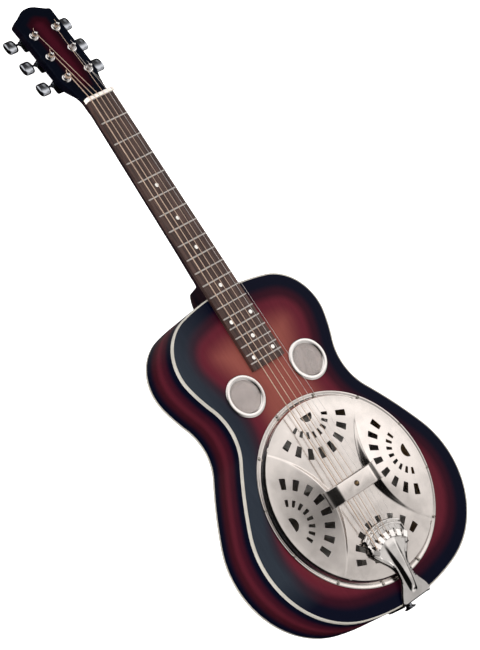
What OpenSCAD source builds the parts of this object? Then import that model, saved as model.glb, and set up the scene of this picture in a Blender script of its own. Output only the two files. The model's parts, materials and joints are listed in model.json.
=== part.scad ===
// Resonator guitar with a wooden body and a spider bridge, lying on its back.
// Origin: outer face of the back, directly under the centre of the cone.
// +Y runs to the headstock, +X to the treble side, +Z out of the soundboard.

/* [Body] */
// Depth of the body, from the face of the back to the face of the soundboard
body_depth = 85; // [84:0.5:92]
// Thickness of the soundboard and of the back
plate_t = 3; // [2.5:0.5:4]
// Thickness of the bent sides, which is also the width of the binding
side_t = 2.4; // [2:0.2:3]
// Height of each strip of binding
binding_h = 5; // [4:1:7]
// Width of the linings that join the sides to the plates
lining_w = 8; // [6:1:10]
// Height of the linings
lining_h = 12; // [10:1:14]

/* [Soundwell and cone] */
// Radius of the hole in the soundboard, and of the inside of the soundwell
well_r = 131; // [130.5:0.5:132]
// Wall thickness of the soundwell
well_t = 12; // [10:1:12]
// Number of ports round the soundwell
port_count = 10; // [6:1:12]
// Radius of each port
port_r = 14; // [10:1:16]
// Height of the ledge that the cone stands on, above the face of the back
ledge_z = 61; // [61:0.5:62]

/* [Cover plate] */
// Outer radius of the cover plate's flange
cover_r = 143; // [142:0.5:145]
// Thickness of the pressed sheet
sheet_t = 1.2; // [1:0.1:1.4]
// Height of the string channel above the soundboard
channel_h = 9.3; // [8.5:0.1:9.5]
// Height of the raised side fields at their inner edge, above the soundboard
field_h = 17.5; // [16:0.5:18]
// Distance of each fan's focus from the centre
fan_focus = 119; // [117:0.5:119]
// Number of screws round the flange
screw_count = 12; // [8:1:16]

/* [Screens] */
// Distance of each screen from the centre line
screen_x = 62; // [60:0.5:64]
// Distance of the screens from the centre of the cone
screen_y = 181.5; // [178:0.5:184]
// Outer radius of a screen's bezel
screen_r = 31.5; // [30:0.5:32]

/* [Neck] */
// Scale length, from the nut to the saddle
scale_l = 645; // [640:1:650]
// Number of frets
fret_count = 19; // [12:1:19]
// Half of the fretboard's width at the nut
nut_half_w = 23.8; // [23:0.1:24.5]
// Half of the fretboard's width at the twelfth fret
fret12_half_w = 28.2; // [27:0.1:29]
// Thickness of the fretboard
board_t = 6.4; // [5.5:0.1:7]
// Place of the fretboard's lower end, along the strings
board_end_y = 205; // [200:1:210]
// Angle by which the headstock leans back
head_angle = 9.5; // [8:0.5:11]
// Thickness of the headstock with its veneer
head_t = 14; // [13:0.5:15]

/* [Strings] */
// Distance between the two outer strings at the nut
nut_spread = 41; // [39:0.5:42]
// Distance between the two outer strings at the saddle
saddle_spread = 54; // [52:0.5:55]
// Height of the strings above the soundboard at the nut
nut_string_h = 12.3; // [11:0.1:13]
// Height of the strings above the soundboard at the saddle
saddle_string_h = 22.3; // [22:0.1:22.5]

/* [Tuners] */
// Distance of each string post from the centre line
post_x = 20.5; // [20:0.5:21]
// Spacing of the string posts along the headstock
post_pitch = 39; // [37:0.5:40]
// Teeth on the worm wheel
wheel_teeth = 14; // [12:1:18]
// Running clearance of shafts in their bores, on the radius
running = 0.05; // [0.03:0.01:0.08]

/* [Hidden] */

// ---- Body outline: a chain of tangent arcs from the top of the centre line to the tail ----

// Each arc is [radius, turn in degrees]; a negative radius is the hollow of the waist.
outline_top_y = 325.5;
outline_arcs = [[345, 13.4], [73, 91.4], [233, 10], [-82, 58.9], [630, 9], [134, 99], [328, 16.1]];
arc_step = 12;                 // length of outline between points

function turn_before(i) = i == 0 ? 0
    : turn_before(i - 1) + sign(outline_arcs[i - 1][0]) * outline_arcs[i - 1][1];
function arc_point(centre, radius, heading) =
    centre + radius * [sin(heading), cos(heading)];
function arc_start(i) = i == 0 ? [0, outline_top_y]
    : arc_point(arc_centre(i - 1), outline_arcs[i - 1][0], turn_before(i));
function arc_centre(i) =
    arc_start(i) - outline_arcs[i][0] * [sin(turn_before(i)), cos(turn_before(i))];
function arc_points(i, inset) =
    let (radius = outline_arcs[i][0], turn = outline_arcs[i][1],
         steps = ceil(abs(radius) * turn * PI / 180 / arc_step))
    [for (k = [0:steps - 1]) arc_point(arc_centre(i), radius - inset,
        turn_before(i) + sign(radius) * turn * k / steps)];
tail_y = arc_centre(len(outline_arcs) - 1)[1] - outline_arcs[len(outline_arcs) - 1][0];

function half_outline(inset) = concat(
    [[0, outline_top_y - inset]],
    [for (i = [0:len(outline_arcs) - 1]) each [for (p = arc_points(i, inset)) if (p[0] > 0.5) p]],
    [[0, tail_y + inset]]);

module outline(inset = 0) {
    right = half_outline(inset);
    left = [for (k = [len(right) - 2:-1:1]) [-right[k][0], right[k][1]]];
    polygon(concat(right, left));
}

module ring_between(outer_inset, inner_inset) {
    difference() {
        outline(outer_inset);
        outline(inner_inset);
    }
}

// ---- Shared places and helpers ----

top = body_depth;
inner_top = body_depth - plate_t;
well_outer_r = well_r + well_t;

block_h = inner_top - plate_t;
neck_block_y = 264;
neck_block_w = 76;
tail_block_w = 72;
tail_block_y = -152;
bolt_z = [top - 24, top - 52];
bolt_r = 3;
strap_z = top - 26;

cover_screw_r = 140.3;         // radius of the ring of screws
cover_wall_r = 137;            // foot of the cover plate's wall
cover_shelf_r = 131;           // top of the wall
field_edge_x = 171.7;          // centre of the arc that edges a raised field
field_edge_r = 128;
field_inner_r = field_edge_x - field_edge_r;
field_sphere_r = (pow(cover_shelf_r, 2) - pow(field_inner_r, 2)) / 2 / (field_h - channel_h);
field_sphere_z = top + channel_h
    - sqrt(pow(field_sphere_r, 2) - pow(cover_shelf_r, 2));
slope_w = field_h - channel_h; // the field's wall falls at 45 degrees

nut_t = 6;
fret_r = 1.25;
tang_t = 0.6;
tang_h = 2;
marker_r = 3;
marker_t = 1.5;
truss_slot_w = 6.6;
truss_slot_h = 7;

head_y = scale_l + 5;
head_drop = 2.5;               // step from the neck's top down to the headstock's face
veneer_t = 1.5;
first_post_y = 43.6;           // first post, measured along the headstock's face
worm_y = 7;                    // from a post's axis to its worm's axis
worm_z = head_t + 5;           // depth of the worm's axis under the face
housing_h = 10;
housing_wall_x = 12.5;         // from the post to the outer wall of the housing
post_r = 3;
post_top = 10.5;
sleeve_r = 4;
shaft_r = 1.6;
shaft_end_x = 46;
button_w = 18.3;
button_l = 21;
button_t = 8.5;
button_x = 41.2;

gauge_r = [0.71, 0.58, 0.46, 0.36, 0.23, 0.20];
wrap_gap = 0.12;               // between a string's turns and its post
wrap_h = 4.2;                  // height of the first turn above the headstock's face
wrap_steps = 16;
wrap_turns = 2;
tube_sides = 8;
tail_centre_y = -124.6;        // centre of the tailpiece's arcs
tail_ball_r = 41;              // radius of the arc of ball ends
tail_ball_step = 15;           // degrees between ball ends
tail_head_z = top + 13.6;      // underside of the tailpiece's head
tail_t = 1.6;
ball_r = 1.9;
ball_z = tail_head_z + tail_t + ball_r + 0.05;

function fret_y(n) = scale_l * pow(2, -n / 12);
function board_half_w(y) = nut_half_w
    + (fret12_half_w - nut_half_w) * (scale_l - y) / (scale_l / 2);
// String 6, the lowest, is on the bass side; slot 0 is string 6 and slot 5 is string 1.
function spread(slot, width) = width * (slot / 5 - 0.5);
function string_side(slot) = slot < 3 ? -1 : 1;
function post_row(slot) = slot < 3 ? slot : 5 - slot;
function post_y(slot) = first_post_y + post_pitch * post_row(slot);
// A point given in the headstock's own frame, moved to where the headstock is.
function from_head(p) = [p[0],
    head_y + p[1] * cos(head_angle) + p[2] * sin(head_angle),
    top - head_drop - p[1] * sin(head_angle) + p[2] * cos(head_angle)];

module on_head() {
    translate([0, head_y, top - head_drop])
        rotate([-head_angle, 0, 0]) children();
}

module at_post(slot) {
    on_head() translate([string_side(slot) * post_x, post_y(slot), 0]) children();
}

// Turns a child drawn along +X so that it points away from the centre line.
module outwards(slot) {
    mirror([string_side(slot) < 0 ? 1 : 0, 0, 0]) children();
}

module along_x(radius, x0, x1) {
    translate([x0, 0, 0]) rotate([0, 90, 0]) cylinder(h = x1 - x0, r = radius, $fn = 32);
}

module along_y(radius, y0, y1) {
    translate([0, y0, 0]) rotate([-90, 0, 0]) cylinder(h = y1 - y0, r = radius, $fn = 32);
}

module rounded_rectangle(w, h, r) {
    translate([-w / 2 + r, -h / 2]) square([w - 2 * r, h]);
    translate([-w / 2, -h / 2 + r]) square([w, h - 2 * r]);
    for (x = [-w / 2 + r, w / 2 - r], y = [-h / 2 + r, h / 2 - r])
        translate([x, y]) circle(r = r, $fn = 32);
}

// ---- Wooden body ----

module soundboard() {
    color("#6d2a2c") difference() {
        translate([0, 0, inner_top]) linear_extrude(plate_t) outline(side_t);
        translate([0, 0, inner_top - 1]) cylinder(h = plate_t + 2, r = well_r, $fn = 128);
        for (side = [-1, 1]) translate([side * screen_x, screen_y, inner_top - 1])
            cylinder(h = plate_t + 2, r = screen_r - 3.5, $fn = 64);
        cover_screw_holes(inner_top - 1, plate_t + 2, 1.1);
    }
}

module back_plate() {
    color("#4a1a1c") linear_extrude(plate_t) outline(side_t);
}

module bent_side(side) {
    color("#571519") difference() {
        translate([0, 0, binding_h])
            linear_extrude(body_depth - 2 * binding_h) ring_between(0, side_t);
        translate([side > 0 ? -400 : 0, -300, 0]) cube([400, 700, body_depth]);
        for (z = bolt_z) translate([0, 0, z]) along_y(bolt_r + 0.2, 310, 340);
        translate([0, 0, strap_z]) along_y(2.2, -190, -160);
    }
}

module bass_side() { bent_side(-1); }

module treble_side() { bent_side(1); }

module top_binding() {
    color("ivory") translate([0, 0, body_depth - binding_h])
        linear_extrude(binding_h) ring_between(0, side_t);
}

module back_binding() {
    color("ivory") linear_extrude(binding_h) ring_between(0, side_t);
}

module linings() {
    color("burlywood") for (z = [plate_t, inner_top - lining_h], side = [0, 1])
        mirror([side, 0, 0]) intersection() {
            translate([0, 0, z]) linear_extrude(lining_h) ring_between(side_t, side_t + lining_w);
            union() {
                translate([tail_block_w / 2, -300, 0]) cube([400, 300, body_depth]);
                translate([neck_block_w / 2, 0, 0]) cube([400, 400, body_depth]);
            }
        }
}

module block(y0, y1, w) {
    intersection() {
        translate([0, 0, plate_t]) linear_extrude(block_h) outline(side_t);
        translate([-w / 2, y0, 0]) cube([w, y1 - y0, body_depth]);
    }
}

module neck_block() {
    color("tan") difference() {
        block(neck_block_y, 340, neck_block_w);
        for (z = bolt_z) translate([0, 0, z]) along_y(bolt_r + 0.2, neck_block_y - 1, 341);
    }
}

module tail_block() {
    color("tan") difference() {
        block(-200, tail_block_y, tail_block_w);
        translate([0, 0, strap_z]) along_y(2, -200, -158);
    }
}

// Two braces across the back and one under the soundboard, between the linings.
module body_braces() {
    color("burlywood") for (brace = [[150, plate_t], [205, plate_t], [236, inner_top - 12]])
        intersection() {
            linear_extrude(body_depth) outline(side_t + lining_w);
            translate([-200, brace[0], brace[1]]) cube([400, 8, 12]);
        }
}

module soundwell() {
    color("peru") difference() {
        translate([0, 0, plate_t]) cylinder(h = block_h, r = well_outer_r, $fn = 128);
        translate([0, 0, plate_t - 1]) cylinder(h = block_h + 2, r = well_r, $fn = 128);
        for (k = [0:port_count - 1]) rotate([0, 0, (k + 0.5) * 360 / port_count])
            translate([0, 0, 29]) along_x(port_r, well_r - 8, well_outer_r + 5);
        cover_screw_holes(inner_top - 8, 9, 1.1);
    }
}

module cone_ledge() {
    color("burlywood") translate([0, 0, ledge_z - 6]) difference() {
        cylinder(h = 6, r = well_r, $fn = 128);
        translate([0, 0, -1]) cylinder(h = 8, r = well_r - 12, $fn = 128);
    }
}

// ---- Resonator ----

module resonator_cone() {
    z = ledge_z;
    color("gainsboro") difference() {
        rotate_extrude($fn = 96) polygon([[0, z - 6], [8, z - 6], [41, z - 22.5], [45, z - 23.5],
            [49, z - 22.5], [117, z], [130.5, z], [130.5, z + 2.5], [129, z + 2.5], [129, z + 1],
            [117, z + 1], [49, z - 21.4], [45, z - 22.4], [41, z - 21.4], [8, z - 4.9],
            [0, z - 4.9]]);
        translate([0, 0, z - 10]) cylinder(h = 10, r = 2.1, $fn = 24);
    }
}

spider_hub_z = ledge_z + 13;
beam_top = top + 14;

module spider() {
    color("silver") difference() {
        union() {
            translate([0, 0, spider_hub_z]) cylinder(h = 6, r = 28, $fn = 64);
            translate([-31, -6, spider_hub_z + 5]) cube([62, 12, beam_top - spider_hub_z - 5]);
            for (k = [0:7]) rotate([0, 0, 22.5 + 45 * k]) translate([0, 3, 0]) rotate([90, 0, 0])
                linear_extrude(6) polygon([[24, spider_hub_z], [24, spider_hub_z + 6],
                    [40, spider_hub_z + 5], [127, ledge_z + 6], [127, ledge_z + 1],
                    [122, ledge_z + 1], [118, ledge_z + 3]]);
        }
        translate([0, 0, spider_hub_z - 1]) cylinder(h = 40, r = 2.1, $fn = 24);
        translate([0, 0, spider_hub_z + 10]) cylinder(h = 40, r = 4.3, $fn = 32);
        translate([-30.2, -1.6, top + 3]) cube([60.4, 3.2, 20]);
    }
}

module saddle_halves() {
    color("wheat") for (side = [-1, 1]) difference() {
        translate([side > 0 ? 4.7 : -30, -1.6, top + 3])
            cube([25.3, 3.2, saddle_string_h - 2.7]);
        for (slot = [0:5]) translate([spread(slot, saddle_spread), 0,
            top + saddle_string_h - gauge_r[slot] - 0.15])
            translate([-gauge_r[slot] - 0.1, -5, 0]) cube([2 * gauge_r[slot] + 0.2, 10, 5]);
    }
}

module tension_screw() {
    color("dimgray") {
        translate([0, 0, spider_hub_z + 10]) cylinder(h = 3, r = 3.8, $fn = 32);
        translate([0, 0, ledge_z - 10]) cylinder(h = spider_hub_z + 20 - ledge_z, r = 2, $fn = 24);
        translate([0, 0, ledge_z - 9]) cylinder(h = 3, r = 4, $fn = 32);
    }
}

// ---- Cover plate, palm rest and screens ----

module cover_screw_holes(z, h, r) {
    for (k = [0:screw_count - 1]) rotate([0, 0, (k + 0.5) * 360 / screw_count])
        translate([cover_screw_r, 0, z]) cylinder(h = h, r = r, $fn = 20);
}

// A part ring of slots, opening towards the centre of the cover plate.
module fan_slots(r0, r1) {
    for (a = [-65, -46.5, -28, -9.3, 9.3, 28, 46.5, 65]) rotate([0, 0, 180 + a - 4.2])
        rotate_extrude(angle = 8.4, $fn = 64) translate([r0, 0]) square([r1 - r0, 40]);
}

module fan() {
    translate([fan_focus, 0, top + 2]) {
        fan_slots(51, 67);
        fan_slots(27, 37);
    }
    translate([fan_focus - 2, 0, top + 2]) intersection() {
        cylinder(h = 40, r = 10.5, $fn = 48);
        translate([-8, -15, 0]) cube([8, 30, 40]);
    }
}

// The space under one raised field's surface, with a sloping wall along the string channel.
module field_body(inset) {
    intersection() {
        translate([0, 0, field_sphere_z]) sphere(r = field_sphere_r - inset, $fn = 256);
        translate([field_edge_x, 0, top + channel_h - sheet_t - 2])
            cylinder(h = slope_w + sheet_t + 4, r1 = field_edge_r + slope_w + sheet_t + 2 - inset,
                r2 = field_edge_r - 2 - inset, $fn = 128);
        cylinder(h = top + 30, r = cover_shelf_r - 2 - inset, $fn = 128);
    }
}

// One raised field: a shallow dome of sheet, open below.
module side_field() {
    difference() {
        field_body(0);
        field_body(1.4 * sheet_t);
        cylinder(h = top + channel_h - sheet_t, r = cover_r + 10, $fn = 64);
    }
}

module cover_plate() {
    shelf_z = top + channel_h;
    color("lightgray") difference() {
        union() {
            rotate_extrude($fn = 128) polygon([[cover_shelf_r - 3, shelf_z - sheet_t],
                [cover_shelf_r - 0.5, shelf_z - sheet_t], [cover_wall_r - 0.5, top],
                [cover_r, top], [cover_r, top + sheet_t], [cover_wall_r + 0.5, top + sheet_t],
                [cover_shelf_r + 0.5, shelf_z], [cover_shelf_r - 3, shelf_z]]);
            difference() {
                translate([0, 0, shelf_z - sheet_t])
                    cylinder(h = sheet_t, r = cover_shelf_r - 2, $fn = 128);
                for (side = [-1, 1]) translate([side * field_edge_x, 0, top])
                    cylinder(h = 40, r = field_edge_r - 1, $fn = 128);
            }
            side_field();
            mirror([1, 0, 0]) side_field();
        }
        for (k = [0:3]) rotate([0, 0, 90 * k]) fan();
        translate([-33.5, -9, top]) cube([67, 18, 30]);
        cover_screw_holes(top - 1, 4, 1.3);
    }
}

module cover_screws() {
    color("gainsboro") for (k = [0:screw_count - 1]) rotate([0, 0, (k + 0.5) * 360 / screw_count])
        translate([cover_screw_r, 0, 0]) {
            translate([0, 0, top + sheet_t]) intersection() {
                cylinder(h = 1.8, r = 2.6, $fn = 24);
                translate([0, 0, -1.6]) sphere(r = 3.3, $fn = 32);
            }
            translate([0, 0, inner_top - 6]) cylinder(h = plate_t + 7.5, r = 1.1, $fn = 20);
        }
}

palm_top = top + 25.5;

module palm_rest() {
    foot_z = top + field_h;
    right = [[32, palm_top], [46, foot_z + sheet_t], [51, foot_z + sheet_t], [51, foot_z - 2],
        [45, foot_z - 2], [45, foot_z], [31.5, palm_top - sheet_t]];
    left = [for (k = [len(right) - 1:-1:0]) [-right[k][0], right[k][1]]];
    color("silver") difference() {
        translate([0, 13.4, 0]) rotate([90, 0, 0]) linear_extrude(26.8)
            polygon(concat(right, left));
        cylinder(h = 200, r = 4.3, $fn = 48);
        translate([0, 0, field_sphere_z]) sphere(r = field_sphere_r, $fn = 256);
    }
}

module screen_rings() {
    color("white") for (side = [-1, 1]) translate([side * screen_x, screen_y, top])
        rotate_extrude($fn = 64) polygon([[24.6, -12], [26.6, -12], [26.6, 0], [screen_r, 0],
            [screen_r, 1.2], [screen_r - 1.2, 2.4], [screen_r - 3, 2.8], [screen_r - 5, 2.2],
            [23.5, 1.4], [23.5, 0.6], [24.6, 0.6]]);
}

module screen_meshes() {
    color("gray") for (side = [-1, 1]) translate([side * screen_x, screen_y, top])
        cylinder(h = 0.6, r = 24.6, $fn = 64);
}

// ---- Neck ----

// Sections of the shaft and heel: [place, half width, depth below the fretboard, roundness].
// The heel is a deep block that ends abruptly on the headstock side.
neck_sections = [[318, 26, 68, 0.7], [330, 26, 64, 0.7], [339, 26.3, 59, 0.7], [345.5, 26.6, 53, 0.7],
    [347.3, 27, 24, 0.85], [354, board_half_w(354), 20.5, 1], [375, board_half_w(375), 19, 1],
    [410, board_half_w(410), 17.4, 1], [head_y + 1, nut_half_w, 15, 1]];

function neck_section(y, half_w, depth, roundness = 1) =
    [for (a = [0:9:180]) [half_w * sign(cos(a)) * pow(abs(cos(a)), roundness), y,
        top - depth * pow(sin(a), 0.8)]];

// A solid skin through sections that all have the same number of points.
module loft(sections) {
    count = len(sections[0]);
    last = len(sections) - 1;
    walls = [for (k = [0:last - 1], j = [0:count - 1])
        let (a = k * count + j, b = k * count + (j + 1) % count)
        each [[a, b + count, b], [a, a + count, b + count]]];
    start_cap = [[for (j = [0:count - 1]) j]];
    end_cap = [[for (j = [count - 1:-1:0]) last * count + j]];
    polyhedron([for (part = sections) each part], concat(walls, start_cap, end_cap));
}

module head_outline() {
    right = [[23.8, 0], [25.2, 14], [27.6, 25], [30.8, 35], [32.6, 44], [33, 60], [33.6, 115],
        [34.4, 150], [33, 152.5], [27, 155], [20.5, 159], [13, 163.5], [6.5, 165.8], [0, 166.3]];
    left = [for (k = [len(right) - 2:-1:0]) [-right[k][0], right[k][1]]];
    polygon(concat(right, left));
}

module post_holes(z, h) {
    for (slot = [0:5]) translate([string_side(slot) * post_x, post_y(slot), z])
        cylinder(h = h, r = sleeve_r + 1, $fn = 32);
}

module neck() {
    color("#2b1a16") difference() {
        union() {
            loft([for (part = neck_sections) neck_section(part[0], part[1], part[2], part[3])]);
            loft([neck_section(620, nut_half_w - 1.5, 13.5), neck_section(634, nut_half_w, 15.5),
                neck_section(head_y + 8, nut_half_w + 0.6, 17.4)]);
            on_head() translate([0, 0, -head_t])
                linear_extrude(head_t - veneer_t) head_outline();
        }
        linear_extrude(top + 20) outline(0);
        translate([-truss_slot_w / 2, 336, top - truss_slot_h])
            cube([truss_slot_w, 300, truss_slot_h + 1]);
        for (z = bolt_z) translate([0, 0, z]) along_y(bolt_r, 300, 341);
        on_head() {
            translate([-50, 1.5, -veneer_t]) cube([100, 200, 20]);
            post_holes(-head_t - 1, head_t + 2);
            for (slot = [0:5]) translate([string_side(slot) * 7.5, post_y(slot), -head_t - 1])
                cylinder(h = 8, r = 1.1, $fn = 20);
        }
    }
}

module truss_rod() {
    color("dimgray") translate([0, 0, top - truss_slot_h / 2]) along_y(3, 340, 634);
}

module neck_bolts() {
    color("gray") for (z = bolt_z) translate([0, 0, z]) {
        along_y(bolt_r, neck_block_y - 6, 340);
        translate([0, neck_block_y - 1.5, 0]) rotate([90, 0, 0]) cylinder(h = 5, r = 5.8, $fn = 6);
    }
}

module bolt_washers() {
    color("gray") for (z = bolt_z) translate([0, 0, z]) difference() {
        along_y(9, neck_block_y - 1.5, neck_block_y);
        along_y(bolt_r, neck_block_y - 3, neck_block_y + 1);
    }
}

module headstock_veneer() {
    color("#140e12") on_head() difference() {
        translate([0, 0, -veneer_t]) linear_extrude(veneer_t) intersection() {
            head_outline();
            translate([-50, 1.5]) square([100, 200]);
        }
        post_holes(-veneer_t - 1, veneer_t + 2);
    }
}

module board_polygon() {
    polygon([[-nut_half_w, scale_l], [nut_half_w, scale_l],
        [board_half_w(board_end_y), board_end_y], [-board_half_w(board_end_y), board_end_y]]);
}

// Each marker is [fret, distance from the centre line].
marker_places = [[5, 0], [7, 0], [9, 0], [12, 0], [15, -18.7], [15, 18.7], [17, 0], [19, -18.7],
    [19, 18.7]];

module each_marker() {
    for (m = marker_places) translate([m[1], (fret_y(m[0]) + fret_y(m[0] - 1)) / 2, 0]) children();
}

module fret_tang(n) {
    half = board_half_w(fret_y(n));
    translate([-half, fret_y(n) - tang_t / 2, top + board_t - tang_h])
        cube([2 * half, tang_t, tang_h]);
}

module fretboard() {
    color("#3a2825") difference() {
        translate([0, 0, top]) linear_extrude(board_t) board_polygon();
        for (n = [1:fret_count]) fret_tang(n);
        each_marker() translate([0, 0, top + board_t - marker_t])
            cylinder(h = marker_t + 1, r = marker_r, $fn = 32);
    }
}

module frets() {
    color("silver") for (n = [1:fret_count]) {
        half = board_half_w(fret_y(n)) - 0.3;
        intersection() {
            translate([0, fret_y(n), top + board_t]) along_x(fret_r, -half, half);
            translate([-50, fret_y(n) - 5, top + board_t]) cube([100, 10, 5]);
        }
        fret_tang(n);
    }
}

module fret_markers() {
    color("white") each_marker() translate([0, 0, top + board_t - marker_t])
        cylinder(h = marker_t, r = marker_r, $fn = 32);
}

// The tall nut lifts the strings well clear of the frets, for playing with a slide.
module nut() {
    color("ivory") difference() {
        translate([-nut_half_w, 0, 0]) rotate([90, 0, 90]) linear_extrude(2 * nut_half_w)
            polygon([[scale_l, top], [scale_l + nut_t, top],
                [scale_l + nut_t, top + nut_string_h - 2.2],
                [scale_l + nut_t - 1.5, top + nut_string_h - 0.6], [scale_l, top + nut_string_h + 0.3]]);
        for (slot = [0:5]) {
            from = nut_point(slot);
            to = post_contact(slot);
            run = to - from;
            translate(from) rotate([atan2(run[2], norm([run[0], run[1]])), 0, -atan2(run[0], run[1])])
                translate([-gauge_r[slot] - 0.12, -1, -gauge_r[slot] - 0.06])
                cube([2 * gauge_r[slot] + 0.24, 12, 6]);
        }
    }
}

// ---- Strings: one swept tube each, from the ball end to the turns round the post ----

function ball_point(slot) = let (a = tail_ball_step * (slot - 2.5))
    [tail_ball_r * sin(a), tail_centre_y + tail_ball_r * cos(a), ball_z];
function saddle_point(slot) =
    [spread(slot, saddle_spread), 0, top + saddle_string_h];
function nut_point(slot) = [spread(slot, nut_spread), scale_l, top + nut_string_h];
function wrap_point(slot, step) =
    let (side = string_side(slot), reach = post_r + wrap_gap + gauge_r[slot],
         a = 360 * step / wrap_steps,
         lift = (2 * gauge_r[slot] + 0.15) * step / wrap_steps)
    from_head([side * (post_x - reach * cos(a)), post_y(slot) + reach * sin(a), wrap_h + lift]);
function post_contact(slot) = wrap_point(slot, 0);
function string_route(slot) = concat(
    [ball_point(slot), saddle_point(slot), nut_point(slot)],
    [for (step = [0:wrap_turns * wrap_steps]) wrap_point(slot, step)]);

function unit(v) = v / norm(v);
function heading(route, k) = k == 0 ? unit(route[1] - route[0])
    : k == len(route) - 1 ? unit(route[k] - route[k - 1])
    : unit(unit(route[k + 1] - route[k]) + unit(route[k] - route[k - 1]));
function ring(centre, along, radius) =
    let (across = unit(cross(along, [0, 0, 1])), lift = cross(across, along))
    [for (j = [0:tube_sides - 1]) let (a = (j + 0.5) * 360 / tube_sides)
        centre + radius * (cos(a) * across + sin(a) * lift)];

module swept_tube(route, radius) {
    last = len(route) - 1;
    points = [for (k = [0:last]) each ring(route[k], heading(route, k), radius)];
    walls = [for (k = [0:last - 1], j = [0:tube_sides - 1])
        let (a = k * tube_sides + j, b = k * tube_sides + (j + 1) % tube_sides)
        each [[a, b, b + tube_sides], [a, b + tube_sides, a + tube_sides]]];
    start_cap = [[for (j = [tube_sides - 1:-1:0]) j]];
    end_cap = [[for (j = [0:tube_sides - 1]) last * tube_sides + j]];
    polyhedron(points, concat(walls, start_cap, end_cap));
}

module guitar_string(slot) {
    color(slot < 4 ? "#b08050" : "silver") {
        swept_tube(string_route(slot), gauge_r[slot]);
        ball = ball_point(slot);
        translate(ball) rotate([0, 90, 0]) cylinder(h = 3, r = ball_r, center = true, $fn = 24);
    }
}

// ---- Tailpiece and strap button ----

function smooth_step(t) = t * t * (3 - 2 * t);
function tail_half_w(y) = y > -90 ? 36.5
    : y > -131 ? 13.6 + (36.5 - 13.6) * smooth_step((y + 131) / 41)
    : y > -142 ? 13.6
    : 13.6 + (28 - 13.6) * smooth_step((-142 - y) / 34.5);

module tail_plan() {
    right = [for (y = [-72, -90, -95, -100, -105, -110, -115, -120, -125, -131, -142, -148, -154,
        -160, -166, -171, -176.5, -185]) [tail_half_w(max(y, -176.5)), y]];
    left = [for (k = [len(right) - 1:-1:0]) [-right[k][0], right[k][1]]];
    polygon(concat(right, left));
    intersection() {
        translate([0, tail_centre_y]) circle(r = 64, $fn = 128);
        translate([-36.5, -80]) square([73, 30]);
    }
}

// The sheet in profile: level head, sloping strap, lower flange bent down over the tail.
module tail_profile() {
    z = tail_head_z;
    polygon([[-55, z], [-92, z], [-133, top + 9.7], [-170, top + 2.2], [tail_y - 0.05, top + 0.5],
        [tail_y - 0.05, top - 40], [tail_y - 0.05 - tail_t, top - 40],
        [tail_y - 0.05 - tail_t, top + 1.4], [tail_y - 1, top + 2.4], [-170, top + 3.9],
        [-133, top + 11.3], [-92, z + tail_t], [-55, z + tail_t]]);
}

module tail_arc(r, z, a) {
    translate([0, tail_centre_y, z]) rotate([0, 0, 90 - a]) rotate_extrude(angle = 2 * a, $fn = 96)
        translate([r, 0]) children();
}

module tailpiece() {
    color("silver") difference() {
        union() {
            intersection() {
                translate([-50, 0, 0]) rotate([90, 0, 90]) linear_extrude(100) tail_profile();
                translate([0, 0, top - 60]) linear_extrude(100) tail_plan();
            }
            tail_arc(63, tail_head_z + tail_t / 2, 34) circle(r = 1.7, $fn = 24);
            tail_arc(tail_ball_r + 2.7, tail_head_z + 0.5, 45) square([4, 4]);
            translate([-2.5, 0, 0]) rotate([90, 0, 90]) linear_extrude(5) polygon([
                [-97, tail_head_z + 1], [-101, tail_head_z + 5.5], [-133, top + 16.5],
                [-159, top + 11], [-164, top + 4], [-133, top + 10.4]]);
        }
        for (slot = [0:5]) {
            run = saddle_point(slot) - ball_point(slot);
            translate(ball_point(slot)) rotate([0, 0, -atan2(run[0], run[1])])
                translate([-1.1, 0, -1.4]) cube([2.2, 11, 10]);
        }
        translate([0, 0, strap_z]) along_y(2, -200, -160);
    }
}

strap_y = tail_y - 0.05 - tail_t;

module strap_button() {
    color("silver") translate([0, strap_y, strap_z]) rotate([90, 0, 0]) difference() {
        rotate_extrude($fn = 48) polygon([[0, 0], [6, 0], [6, 1.2], [5, 1.6], [5, 5.2], [8.4, 6.8],
            [9, 7.6], [8.4, 8.6], [6, 9], [0, 9]]);
        translate([0, 0, -1]) cylinder(h = 12, r = 2, $fn = 24);
        translate([0, 0, 6.8]) cylinder(h = 3, r = 3.9, $fn = 32);
    }
}

module strap_screw() {
    color("gray") translate([0, strap_y, strap_z]) rotate([90, 0, 0]) {
        translate([0, 0, 6.8]) cylinder(h = 1.6, r = 3.8, $fn = 32);
        translate([0, 0, strap_y + 158]) cylinder(h = 7 - strap_y - 158, r = 2, $fn = 24);
    }
}

// ---- Tuners, drawn in the headstock's frame with the post's axis at the centre ----

module string_post(slot) {
    color("silver") at_post(slot) difference() {
        union() {
            translate([0, 0, -worm_z + 1.8]) cylinder(h = worm_z - 1.8 + post_top, r = post_r, $fn = 32);
            translate([0, 0, -worm_z - 1.8]) difference() {
                cylinder(h = 3.6, r = 4.7, $fn = 48);
                for (k = [0:wheel_teeth - 1]) rotate([0, 0, k * 360 / wheel_teeth])
                    translate([4.7, 0, -1]) cylinder(h = 6, r = 0.45, $fn = 16);
            }
            translate([0, 0, -worm_z - 3.9]) cylinder(h = 3, r = 1.5, $fn = 24);
        }
        translate([0, 0, post_top - 2.1]) rotate([0, 0, 90]) along_x(0.95, -5, 5);
    }
}

module worm_shaft(slot) {
    color("silver") at_post(slot) outwards(slot) translate([0, worm_y, -worm_z]) {
        along_x(1, -8.7, -6);
        difference() {
            along_x(2.1, -6.5, 6.5);
            for (k = [-2:2]) translate([k * 2.4, 0, 0]) difference() {
                along_x(3, -0.5, 0.5);
                along_x(1.6, -1, 1);
            }
        }
        along_x(shaft_r, 6, shaft_end_x - post_x);
        along_x(3.4, housing_wall_x + 0.2, housing_wall_x + 1.8);
    }
}

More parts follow.
